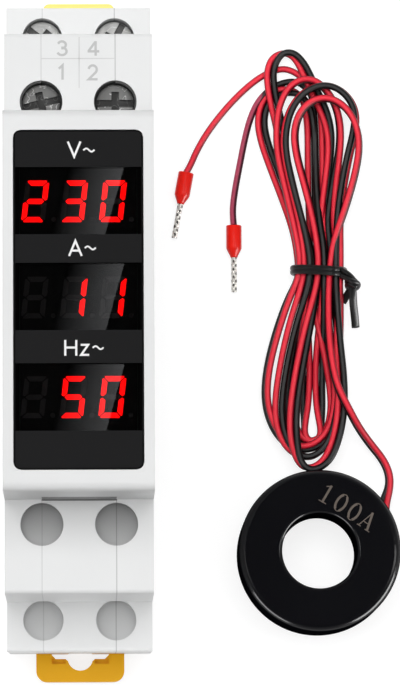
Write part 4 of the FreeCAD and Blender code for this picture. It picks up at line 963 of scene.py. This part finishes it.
def curved(middle, radius, start, end, steps=12):
    """Points of an arc with separate radii across and up, between two angles in degrees."""
    out = []
    for i in range(steps + 1):
        angle = math.radians(start + (end - start) * i / steps)
        out.append((middle[0] + radius[0] * math.cos(angle), middle[1] + radius[1] * math.sin(angle)))
    return out


WAVE = [(0.055 * i, 0.45 + 0.10 * math.sin(2 * math.pi * i / 12)) for i in range(13)]
PLAIN = {
    "1": [[(0.12, 0.78), (0.36, 1.0), (0.36, 0.0)]],
    "2": [curved((0.31, 0.70), (0.29, 0.30), 165, -40) + [(0.02, 0.0), (0.62, 0.0)]],
    "3": [curved((0.32, 0.74), (0.28, 0.25), 155, -92), curved((0.32, 0.27), (0.33, 0.27), 92, -155)],
    "4": [[(0.54, 0.0), (0.54, 0.98)], [(0.50, 0.94), (0.06, 0.34)], [(0.0, 0.28), (0.76, 0.28)]],
    "V": [[(0.0, 1.0), (0.42, 0.0), (0.84, 1.0)]],
    "A": [[(0.0, 0.0), (0.42, 1.0), (0.84, 0.0)], [(0.15, 0.34), (0.69, 0.34)]],
    "H": [[(0.0, 0.0), (0.0, 1.0)], [(0.74, 0.0), (0.74, 1.0)], [(0.0, 0.52), (0.74, 0.52)]],
    "z": [[(0.0, 0.66), (0.46, 0.66), (0.0, 0.0), (0.5, 0.0)]],
    "~": [WAVE],
}
# Stroke widths of the letters with serifs
THICK, THIN = 0.12, 0.05
SERIF = {
    "1": [(THICK, [(0.33, 0.02), (0.33, 0.98)]), (THIN, [(0.12, 0.03), (0.54, 0.03)]),
          (THIN, [(0.12, 0.84), (0.33, 0.97)])],
    "0": [(THICK, curved((0.32, 0.5), (0.24, 0.46), 60, -60)),
          (THICK, curved((0.32, 0.5), (0.24, 0.46), 120, 240)),
          (THIN, curved((0.32, 0.5), (0.26, 0.48), 125, 55)),
          (THIN, curved((0.32, 0.5), (0.26, 0.48), -125, -55))],
    "A": [(THIN, [(0.10, 0.03), (0.36, 0.97)]), (THICK, [(0.36, 0.94), (0.62, 0.03)]),
          (THIN, [(0.20, 0.34), (0.54, 0.34)]), (THIN, [(0.0, 0.03), (0.22, 0.03)]),
          (THIN, [(0.50, 0.03), (0.76, 0.03)])],
}
# Thickness of the ink, and the little more that each further stroke of a sign has
INK, LAYER = 0.012 * MM, 0.002 * MM
# Stroke widths in millimetres
STROKE = {"sign": 0.25, "wave": 0.20, "number": 0.29, "grid": 0.13}
# Reading signs on the film: letter, lower left corner, height
READING_SIGNS = [("V", (-1.20, 17.02), 1.75), ("~", (0.65, 16.93), 1.92),
                 ("A", (-1.08, 5.20), 1.74), ("~", (0.80, 5.26), 1.88),
                 ("H", (-1.58, -6.66), 1.76), ("z", (0.30, -6.62), 1.80), ("~", (1.70, -6.60), 1.85)]
# Level of the inner deck, and the numbers and lines on it
DECK = 45.0 * MM
TERMINAL_NUMBERS = [("3", (-2.50, 31.40)), ("4", (1.22, 31.38)),
                    ("1", (-2.50, 28.45)), ("2", (1.25, 28.43))]
NUMBER_TALL = 1.70
GRID = [((0.13, 33.6), (0.12, 27.4)), ((-4.43, 30.98), (4.37, 30.98))]
# Rating on the ring: letter, lower left corner, turn in degrees
RATING = [("1", (30.16, -20.06), -31.0), ("0", (31.98, -21.15), -33.0), ("0", (33.66, -22.28), -34.0),
          ("A", (35.26, -23.28), -35.0)]
RATING_TALL = 2.45


def ribbon(points, width, place, height):
    """A flat inked stroke: points and width in letter units, placed by a function onto the part."""
    verts = []
    half = width / 2
    flat = [Vector(p) for p in points]
    for i, p in enumerate(flat):
        before = (p - flat[i - 1]).normalized() if i else None
        after = (flat[i + 1] - p).normalized() if i + 1 < len(flat) else None
        along = ((before or after) + (after or before)).normalized()
        normal = Vector((-along.y, along.x))
        across = Vector((-(after or before).y, (after or before).x))
        stretch = half / max(0.35, normal.dot(across))
        end = along * (half * 0.4) * (-1 if before is None else 1 if after is None else 0)
        for side, level in ((1, 0), (-1, 0), (-1, 1), (1, 1)):
            verts.append(place(p + end + normal * stretch * side, level * height))
    return verts, closed_sides(len(flat), 4)


def sign(letter, corner, size, surface, stroke=None, turn=0.0):
    """Strokes of a sign from its lower left corner, in millimetres; without a stroke it has serifs."""
    cos, sin = math.cos(math.radians(turn)), math.sin(math.radians(turn))

    def place(p, lift):
        x, y = p[0] * size, p[1] * size
        across, up = corner[0] + x * cos - y * sin, corner[1] + x * sin + y * cos
        return Vector((across * MM, up * MM, surface + lift))

    rows = SERIF[letter] if stroke is None else [(stroke / size, points) for points in PLAIN[letter]]
    return [ribbon(points, width, place, INK + layer * LAYER) for layer, (width, points) in enumerate(rows)]


def on_deck(p, lift):
    """A point of the inner deck, from its place in millimetres and its height over the deck."""
    return Vector((p.x * MM, p.y * MM, DECK + lift))


def printed(name, signs, slot, colour):
    """Prints signs, each a list of strokes, as one piece with an ink of its own."""
    piece = keep(merged(name, [part for strokes in signs for part in strokes]), slot)
    piece.data.materials[0] = ink(name + "_ink", colour)


class AMMETER_OT_lettering(bpy.types.Operator):
    """Prints the reading signs, the terminal numbers and the ring's rating"""
    bl_idname = "ammeter.lettering"
    bl_label = "Lettering"

    def execute(self, context):
        film, ring = (node_box(node)[1].z for node in ("front_film", "ct_case"))
        signs = [sign(letter, corner, size, film, STROKE["wave" if letter == "~" else "sign"])
                 for letter, corner, size in READING_SIGNS]
        printed("reading_signs", signs, "front_film", (0.85, 0.85, 0.85))
        numbers = [sign(figure, corner, NUMBER_TALL, DECK, STROKE["number"])
                   for figure, corner in TERMINAL_NUMBERS]
        printed("terminal_numbers", numbers, "case_grey", (0.54, 0.54, 0.54))
        lines = [ribbon(ends, STROKE["grid"], on_deck, INK) for ends in GRID]
        printed("terminal_grid", [lines], "case_grey", (0.66, 0.66, 0.66))
        rating = [sign(letter, corner, RATING_TALL, ring, turn=turn) for letter, corner, turn in RATING]
        printed("rating_mark", rating, "ring_black", (0.115, 0.088, 0.070))
        return {"FINISHED"}


# Digits of the three displays

# Upright digit: width, height, bar, gap between bars, cut outer corners, its lean as a slope, and the pitch
DIGIT = {"wide": 2.80, "tall": 4.96, "bar": 0.61, "gap": 0.10, "cut": 0.30, "slope": 0.115, "pitch": 4.62}
DIGIT_DOT = {"place": (3.86, 0.32), "radius": 0.30, "points": 16}
# Each display: what it reads, and the lower left corner of its last digit
READINGS = {"volt": ("230", (2.45, 9.32)), "amp": (" 11", (2.38, -2.16)), "hertz": (" 50", (2.30, -14.02))}
BARS_OF = {" ": "", "0": "abcdef", "1": "bc", "2": "abged", "3": "abgcd", "5": "afgcd"}
# Chamfer of a plate's upper edge: how far in and how far down
CHAMFER = {"in": 0.02 * MM, "down": 0.015 * MM}


def digit_bars():
    """Outlines of the seven bars of an upright digit, named a to g in the usual order."""
    wide, tall, bar, gap, cut = (DIGIT[key] for key in ("wide", "tall", "bar", "gap", "cut"))
    middle, tip = tall / 2, 0.4 * bar
    top = [(bar + gap, tall - bar), (wide - bar - gap, tall - bar), (wide - cut / 2 - gap, tall - cut / 2),
           (wide - cut, tall), (cut, tall), (cut / 2 + gap, tall - cut / 2)]
    left = [(0, tall - cut), (0, middle + gap + bar / 4), (tip, middle + gap),
            (bar, middle + bar / 2 + gap), (bar, tall - bar - gap), (cut / 2, tall - cut / 2 - gap)]
    start, end = bar + gap / 2, wide - bar - gap / 2
    across = [(tip + gap * 1.2, middle), (start, middle - bar / 2), (end, middle - bar / 2),
              (wide - tip - gap * 1.2, middle), (end, middle + bar / 2), (start, middle + bar / 2)]

    def flipped(row, sideways=False, upside=False):
        out = [(wide - x if sideways else x, tall - y if upside else y) for x, y in row]
        return out[::-1] if sideways != upside else out

    return {"a": top, "b": flipped(left, sideways=True), "c": flipped(left, True, True),
            "d": flipped(top, upside=True), "e": flipped(left, upside=True), "f": left, "g": across}


def slab(outline, low, high):
    """A flat plate from an anticlockwise outline, its upper edge rounded by a small chamfer."""
    middle = sum(outline, Vector((0, 0))) / len(outline)
    inner = [p + (middle - p).normalized() * min(CHAMFER["in"], (middle - p).length / 4) for p in outline]
    rows = [(outline, low), (outline, high - CHAMFER["down"]), (inner, high)]
    points = [Vector((p.x, p.y, z)) for row, z in rows for p in row]
    return points, closed_sides(len(rows), len(outline))


class AMMETER_OT_digits(bpy.types.Operator):
    """Cuts the lit and the unlit bars and the points of the three displays"""
    bl_idname = "ammeter.digits"
    bl_label = "Digits"

    def execute(self, context):
        bars = digit_bars()
        dot_x, dot_y = DIGIT_DOT["place"]
        steps = DIGIT_DOT["points"] - 1
        for display, (reading, (left, base)) in READINGS.items():
            low, high = (corner.z for corner in node_box(display + "_lit_segments"))
            lit, unlit = [], []
            for index, figure in enumerate(reading):
                start = left - (len(reading) - 1 - index) * DIGIT["pitch"]
                for name, outline in bars.items():
                    row = [Vector((start + x + y * DIGIT["slope"], base + y)) * MM for x, y in outline]
                    (lit if name in BARS_OF[figure] else unlit).append(slab(row, low, high))
                dot = curved((start + dot_x, base + dot_y), (DIGIT_DOT["radius"],) * 2,
                             0, 360 * steps / DIGIT_DOT["points"], steps)
                unlit.append(slab([Vector(p) * MM for p in dot], low, high))
            keep(merged(display + "_lit", lit), "segment_lit", [display + "_lit_segments"])
            keep(merged(display + "_unlit", unlit), "segment_unlit", [display + "_unlit_segments"])
        return {"FINISHED"}


# Corners and border of the display window

# Radius of the corners, width of the border and how far a corner's fill reaches into the bezel, in
# millimetres, and how high the fill and the border stand over the film
WINDOW = {"corner": 0.78, "border": 0.21, "over": 0.1, "fill_lift": 0.02 * MM, "border_lift": 0.008 * MM}


def corner_fill(way_x, way_y, low, high):
    """Fills one square corner of the bezel's opening to a round one."""
    pane_low, pane_high = node_box("display_pane")
    x = (pane_high.x if way_x > 0 else pane_low.x) / MM
    y = (pane_high.y if way_y > 0 else pane_low.y) / MM
    radius = WINDOW["corner"]
    far_x, far_y = x + way_x * WINDOW["over"], y + way_y * WINDOW["over"]
    arc = curved((0, 0), (radius, radius), 0, 90, 10)
    outline = [(far_x, y - way_y * radius)]
    outline += [(x - way_x * (radius - px), y - way_y * (radius - py)) for px, py in arc]
    outline += [(x - way_x * radius, far_y), (far_x, far_y)]
    if way_x == way_y:
        outline.reverse()
    return slab([Vector(p) * MM for p in outline], low, high)


def rounded_frame(outer, radius, width, steps=8):
    """Points of a closed rounded rectangle, outer and inner, from half sizes."""
    rows = []
    for inset in (0.0, width):
        row = []
        for quarter, (way_x, way_y) in enumerate(((1, 1), (-1, 1), (-1, -1), (1, -1))):
            middle = (way_x * (outer[0] - radius), way_y * (outer[1] - radius))
            row += curved(middle, (radius - inset,) * 2, 90 * quarter, 90 * quarter + 90, steps)
        rows.append(row)
    return rows


class AMMETER_OT_window(bpy.types.Operator):
    """Rounds the corners of the window and prints its black border"""
    bl_idname = "ammeter.window"
    bl_label = "Window"

    def execute(self, context):
        pane_low, pane_high = node_box("display_pane")
        film_top = node_box("front_film")[1].z
        corners = [corner_fill(way_x, way_y, pane_low.z, film_top + WINDOW["fill_lift"])
                   for way_x in (-1, 1) for way_y in (-1, 1)]
        keep(merged("window_corners", corners), "bezel_grey")
        half = (pane_high.x / MM, pane_high.y / MM)
        outer, inner = rounded_frame(half, WINDOW["corner"], WINDOW["border"])
        count, raise_by = len(outer), WINDOW["border_lift"]
        points = [Vector((x * MM, y * MM, film_top + lift))
                  for row, lift in ((outer, 0), (outer, raise_by), (inner, raise_by), (inner, 0))
                  for x, y in row]
        faces = [(level * count + k, level * count + (k + 1) % count,
                  (level + 1) % 4 * count + (k + 1) % count, (level + 1) % 4 * count + k)
                 for level in range(4) for k in range(count)]
        keep(mesh_piece("film_border", points, faces, smooth=False), "mask_black")
        return {"FINISHED"}


# Screws

# Head with a slot right across and a shorter cross arm, its rounded edges, and the threads below its neck,
# in millimetres; over is how far a cutter stands past the head
SCREW = {"radius": 2.28, "head": 1.6, "dome": 0.16, "edge": 0.10, "slot": 0.86, "slot_deep": 0.75,
         "arm": 0.92, "arm_long": 1.42, "arm_deep": 0.95, "shank": 1.2, "neck": 0.3, "pitch": 0.45,
         "thread": 0.14, "over": 0.5}
SCREW_ROUND = {"around": 48, "dome_steps": 8}
# Rounded edges of the slots: width, and the angles in degrees past which an edge is rounded and is sharp
SOFT_EDGE = {"width": 0.035 * MM, "rounded": 40, "sharp": 30}
SCREW_TURNS = {1: 13.0, 2: 0.0, 3: -38.0, 4: 62.0}


def screw_profile(top, bottom):
    """Heights and radii from the middle of the head down the outside to the point."""
    wide, dome, edge, shank = (SCREW[key] for key in ("radius", "dome", "edge", "shank"))
    steps, under = SCREW_ROUND["dome_steps"], top - SCREW["head"]
    rows = [(top - dome * (k / steps) ** 2, wide * k / steps) for k in range(1, steps)]
    rows += [(top - dome - 0.02, wide - edge), (top - dome - edge, wide), (under + edge, wide),
             (under, wide - edge), (under, shank)]
    height, root = under - SCREW["neck"], shank - SCREW["thread"]
    while height > bottom + SCREW["pitch"]:
        rows += [(height, shank), (height - SCREW["pitch"] / 2, root)]
        height -= SCREW["pitch"]
    rows.append((bottom, root))
    return rows


def cutter_box(half_x, half_y, top, deep, turn, centre):
    """A turned box that cuts a slot from above a head down to a depth, in millimetres."""
    cos, sin = math.cos(turn), math.sin(turn)
    points = []
    for z in (top - deep, top + SCREW["over"]):
        for x, y in ((-half_x, -half_y), (half_x, -half_y), (half_x, half_y), (-half_x, half_y)):
            across, up = x * cos - y * sin, x * sin + y * cos
            points.append((centre.x + across * MM, centre.y + up * MM, z * MM))
    faces = [(3, 2, 1, 0), (4, 5, 6, 7), (0, 1, 5, 4), (1, 2, 6, 5), (2, 3, 7, 6), (3, 0, 4, 7)]
    return mesh_piece("cutter", points, faces, smooth=False)


def cut_slots(piece, cutters):
    """Cuts the slots into a head, rounds their edges, and removes the cutters."""
    for cutter in cutters:
        cut = piece.modifiers.new("cut", "BOOLEAN")
        cut.object = cutter
        cut.solver = "EXACT"
    soften = piece.modifiers.new("soften", "BEVEL")
    soften.width = SOFT_EDGE["width"]
    soften.segments = 2
    soften.limit_method = "ANGLE"
    soften.angle_limit = math.radians(SOFT_EDGE["rounded"])
    shaped = shaped_mesh(piece)
    piece.modifiers.clear()
    piece.data = shaped
    shaped.shade_smooth()
    shaped.set_sharp_from_angle(angle=math.radians(SOFT_EDGE["sharp"]))
    for cutter in cutters:
        bpy.data.objects.remove(cutter)


def screw_piece(number):
    """A terminal screw in the place of the one in the frame."""
    low, high = node_box(f"terminal_screw_{number}")
    centre = (low + high) / 2
    top, bottom = high.z / MM, low.z / MM
    rows = screw_profile(top, bottom)
    around = SCREW_ROUND["around"]
    points = [Vector((centre.x, centre.y, top * MM))]
    for height, radius in rows:
        for k in range(around):
            angle = 2 * math.pi * k / around
            points.append(Vector((centre.x + math.cos(angle) * radius * MM,
                                  centre.y + math.sin(angle) * radius * MM, height * MM)))
    faces = [(0, 1 + k, 1 + (k + 1) % around) for k in range(around)]
    last = 1 + (len(rows) - 1) * around
    for upper in range(1, last, around):
        for k in range(around):
            after = (k + 1) % around
            faces.append((upper + k, upper + around + k, upper + around + after, upper + after))
    faces.append(tuple(last + k for k in reversed(range(around))))
    piece = mesh_piece(f"screw_{number}", points, faces)
    turn = math.radians(SCREW_TURNS[number])
    sizes = [(SCREW["radius"] + SCREW["over"], SCREW["slot"] / 2, "slot_deep"),
             (SCREW["arm"] / 2, SCREW["arm_long"], "arm_deep")]
    cut_slots(piece, [cutter_box(half_x, half_y, top, SCREW[deep], turn, centre)
                      for half_x, half_y, deep in sizes])
    return piece


class AMMETER_OT_screws(bpy.types.Operator):
    """Turns the four terminal screws, with their slots and threads"""
    bl_idname = "ammeter.screws"
    bl_label = "Screws"

    def execute(self, context):
        pale = screw_plating("screw_plating_pale", (0.56, 0.56, 0.55), 3, gloss=0.3, dull=0.2, bare=0.3)
        for number in SCREW_TURNS:
            node = f"terminal_screw_{number}"
            piece = keep(screw_piece(number), "screw_steel", [node], body=node)
            if number > 2:
                piece.data.materials[0] = pale
        return {"FINISHED"}


# Finishes of the parts that come from the frame

# The upper clip is painted a paler yellow than the lower one, as a lit copy of the same clip moulding
UPPER_CLIP_LIT_TONE = (0.92, 0.80, 0.20)


class AMMETER_OT_finishes(bpy.types.Operator):
    """Gives every part of the frame its finish"""
    bl_idname = "ammeter.finishes"
    bl_label = "Finishes"

    def execute(self, context):
        for row in frame["record"]["subparts"]:
            piece = NODES[row["node"]]
            piece.data.materials.clear()
            piece.data.materials.append(finish_of(row["material_slot"]))
        # Painted light: a paler, lit copy of the clip moulding for the upper clip
        upper = moulded("upper_clip_lit_copy", UPPER_CLIP_LIT_TONE, gloss=0.36, tone=0.05)
        NODES["upper_clip"].data.materials[0] = upper
        return {"FINISHED"}


# Stage, in metres where nothing else is said

# Table: half its side, how far it is below the part, and what it adds to its own light for the camera
TABLE = {"half": 4.0, "below": 0.02 * MM, "lift": 0.80}
# World as gloss sees it: bright low down and dark overhead, and the heights that it turns between
WORLD = {"horizon": 0.45, "zenith": 0.015, "low": 0.35, "high": 0.90}
# Camera: place in millimetres, turn in degrees, width of its sensor in millimetres, and its clipping
CAMERA = {"place": (1.26, -71.45, 760.0), "turn": (5.415, -1.049, -0.261), "sensor": 36.0,
          "near": 0.01, "far": 50}
# Large light: place and size
KEY = ((0.0, 0.12, 0.75), (0.45, 0.35))
# Boxes and rim lights: place and size, and power as a share of the key light's
SOFT_BOXES = [((-0.33, -0.04, 0.60), (0.14, 0.40), 0.22), ((0.36, -0.02, 0.62), (0.10, 0.30), 0.12)]
RIM_LIGHTS = [((-0.40, -0.36, 0.20), (0.60, 0.22), 1.0), ((0.44, -0.34, 0.20), (0.45, 0.26), 1.5)]
# Where the rim lights aim: the ring
RIM_AIM = (0.03, -0.027, 0.0)
# Small fills beside the two ends, level with the inner decks, so that only what is lower gets their light:
# place, aim and power of each, and their size
LOW_FILLS = [((0.0, -0.062, 0.032), (0.0, -0.036, 0.01), 0.0026),
             ((0.0, 0.085, 0.036), (0.0, 0.037, 0.02), 0.007)]
FILL_SIZE = (0.03, 0.012)
# Reflection on the pane: the upper and lower end of each window, and for the card above it the slanted
# edge, the fade and the height over the pane, all in millimetres, then its strength, the light at its four
# corners, and how that falls off
GLARE_ROWS = [(15.77, 7.68), (4.28, -3.81), (-7.68, -15.83)]
GLARE = {"edge_top": 5.44, "edge_foot": 3.17, "fade": 6.6, "height": 300.0, "strength": 0.95,
         "corners": (0.0, 0.85, 1.0, 0.0), "falloff": 1.3}


def hide_from(piece, *kinds):
    """Keeps a piece or a lamp out of what some kinds of ray see."""
    for kind in kinds:
        setattr(piece, "visible_" + kind, False)


def area_light(name, place, size, power, aim=(0.0, 0.0, 0.0)):
    data = bpy.data.lights.new(name, "AREA")
    data.shape = "RECTANGLE"
    data.size, data.size_y = size
    data.energy = power
    lamp = linked(name, data)
    lamp.location = place
    lamp.rotation_euler = (Vector(aim) - Vector(place)).to_track_quat("-Z", "Y").to_euler()
    return lamp


def ray_share(tree, *kinds):
    """1 for rays of the named kinds, and 0 for all others."""
    path = add(tree, "LightPath").outputs
    share = path[f"Is {kinds[0]} Ray"]
    for kind in kinds[1:]:
        share = maths(tree, "MAXIMUM", share, path[f"Is {kind} Ray"])
    return share


def floor_material():
    """Pale table that keeps the shadow and is white to the camera where it is fully lit."""
    made, tree, shader = new_material("table_top", Base_Color=(*stage_settings().floor_colour, 1),
                                      Roughness=0.9, Specular_IOR_Level=0.0)
    glow = add(tree, "Emission", Color=(1, 1, 1, 1))
    seen = ray_share(tree, "Camera", "Glossy", "Transmission")
    join(tree, maths(tree, "MULTIPLY", seen, TABLE["lift"]), glow.inputs["Strength"])
    both = add(tree, "AddShader")
    join(tree, shader.outputs[0], both.inputs[0])
    join(tree, glow.outputs[0], both.inputs[1])
    join(tree, both.outputs[0], tree.nodes["Material Output"].inputs["Surface"])
    return made


def glare_material():
    """Light of a card, full at its slanted edge and fading to nothing across it."""
    made, tree, shader = new_material("glare_card")
    tree.nodes.remove(shader)
    fade = add(tree, "Attribute", attribute_name="fade")
    glow = add(tree, "Emission", Color=(0.97, 0.985, 1, 1))
    curve = maths(tree, "POWER", fade.outputs["Fac"], GLARE["falloff"])
    join(tree, maths(tree, "MULTIPLY", curve, GLARE["strength"]), glow.inputs["Strength"])
    join(tree, glow.outputs[0], tree.nodes["Material Output"].inputs["Surface"])
    return made


def glare_cards():
    """Cards over the pane, placed where their mirror image fills each window from the camera."""
    glow = glare_material()
    eye = Vector(CAMERA["place"])
    pane = node_box("display_pane")[1].z / MM
    reach = GLARE["height"] / (eye.z - pane)
    for number, (top, foot) in enumerate(GLARE_ROWS, 1):
        edges = [(GLARE["edge_foot"] - GLARE["fade"], foot), (GLARE["edge_foot"], foot),
                 (GLARE["edge_top"], top), (GLARE["edge_top"] - GLARE["fade"], top)]
        points = [Vector((x + (x - eye.x) * reach, y + (y - eye.y) * reach, pane + GLARE["height"])) * MM
                  for x, y in edges]
        card = mesh_piece(f"glare_card_{number}", points, [(0, 1, 2, 3)], smooth=False)
        fade = card.data.attributes.new("fade", "FLOAT", "POINT")
        for k, value in enumerate(GLARE["corners"]):
            fade.data[k].value = value
        card.data.materials.append(glow)
        hide_from(card, "camera", "diffuse", "shadow", "volume_scatter")


def table_top():
    """A wide table just under the part."""
    half, level = TABLE["half"], CAD_BOX[0][2] - TABLE["below"]
    corners = [(x * half, y * half, level) for x, y in ((-1, -1), (1, -1), (1, 1), (-1, 1))]
    table = mesh_piece("table", corners, [(0, 1, 2, 3)], smooth=False)
    table.data.materials.append(floor_material())


def lamps():
    """The large light, two low fills, two soft boxes and two rim lights."""
    power = stage_settings().key_power
    hide_from(area_light("key", *KEY, power), "glossy", "transmission")
    for place, aim, strength in LOW_FILLS:
        hide_from(area_light("low_fill", place, FILL_SIZE, strength, aim), "glossy", "transmission")
    for place, size, share in SOFT_BOXES:
        area_light("soft_box", place, size, power * share)
    for place, size, share in RIM_LIGHTS:
        hide_from(area_light("rim", place, size, power * share, RIM_AIM), "diffuse")


def blended_number(tree, share, first, second):
    made = add(tree, "Mix", data_type="FLOAT")
    join(tree, share, made.inputs["Factor"])
    feed(tree, first, made.inputs[2])
    feed(tree, second, made.inputs[3])
    return made.outputs[0]


def studio_world():
    """Even light, a dark zenith for gloss, and white for the camera."""
    world = bpy.data.worlds.new("studio")
    bpy.context.scene.world = world
    world.use_nodes = True
    tree = world.node_tree
    back = tree.nodes["Background"]
    upward = split(tree, "Generated")[2]
    sky = ranged(tree, upward, WORLD["low"], WORLD["high"], WORLD["horizon"], WORLD["zenith"])
    mirrored = ray_share(tree, "Glossy", "Transmission")
    lit = blended_number(tree, mirrored, stage_settings().ambient, sky)
    join(tree, blended_number(tree, ray_share(tree, "Camera"), lit, 1.0), back.inputs["Strength"])
    back.inputs["Color"].default_value = (1, 1, 1, 1)


def camera():
    data = bpy.data.cameras.new("camera")
    data.sensor_width = CAMERA["sensor"]
    data.lens = stage_settings().lens
    data.clip_start, data.clip_end = CAMERA["near"], CAMERA["far"]
    piece = linked("camera", data)
    piece.location = Vector(CAMERA["place"]) * MM
    piece.rotation_euler = Euler([math.radians(angle) for angle in CAMERA["turn"]], "XYZ")
    bpy.context.scene.camera = piece


class AMMETER_OT_stage(bpy.types.Operator):
    """Sets the table, the lights, the world and the camera"""
    bl_idname = "ammeter.stage"
    bl_label = "Stage"

    def execute(self, context):
        table_top()
        lamps()
        glare_cards()
        studio_world()
        camera()
        context.scene.view_settings.view_transform = "Standard"
        return {"FINISHED"}


class AMMETER_PT_panel(bpy.types.Panel):
    bl_idname = "AMMETER_PT_panel"
    bl_label = "DIN rail ammeter"
    bl_space_type = "VIEW_3D"
    bl_region_type = "UI"
    bl_category = "Ammeter"

    def draw(self, context):
        for operator in OPERATORS:
            self.layout.operator(operator.bl_idname)
        for group in (meter_settings(), cable_settings(), stage_settings()):
            for key in group.bl_rna.properties.keys():
                if key not in ("rna_type", "name"):
                    self.layout.prop(group, key)


SETTINGS = {"ammeter_meter": MeterSettings, "ammeter_cable": CableSettings, "ammeter_stage": StageSettings}
OPERATORS = [AMMETER_OT_finishes, AMMETER_OT_cable, AMMETER_OT_tie, AMMETER_OT_lettering, AMMETER_OT_digits,
             AMMETER_OT_window, AMMETER_OT_screws, AMMETER_OT_stage]
CLASSES = [*SETTINGS.values(), *OPERATORS, AMMETER_PT_panel]


def register():
    for cls in CLASSES:
        bpy.utils.register_class(cls)
    for name, kind in SETTINGS.items():
        setattr(bpy.types.Scene, name, PointerProperty(type=kind))


def unregister():
    for name in SETTINGS:
        delattr(bpy.types.Scene, name)
    for cls in reversed(CLASSES):
        bpy.utils.unregister_class(cls)


def main():
    register()
    bpy.ops.ammeter.finishes()
    bpy.ops.ammeter.cable()
    bpy.ops.ammeter.tie()
    bpy.ops.ammeter.lettering()
    bpy.ops.ammeter.digits()
    bpy.ops.ammeter.window()
    bpy.ops.ammeter.screws()
    bpy.ops.ammeter.stage()
    bpy.context.view_layer.update()


if __name__ == "__main__":
    main()
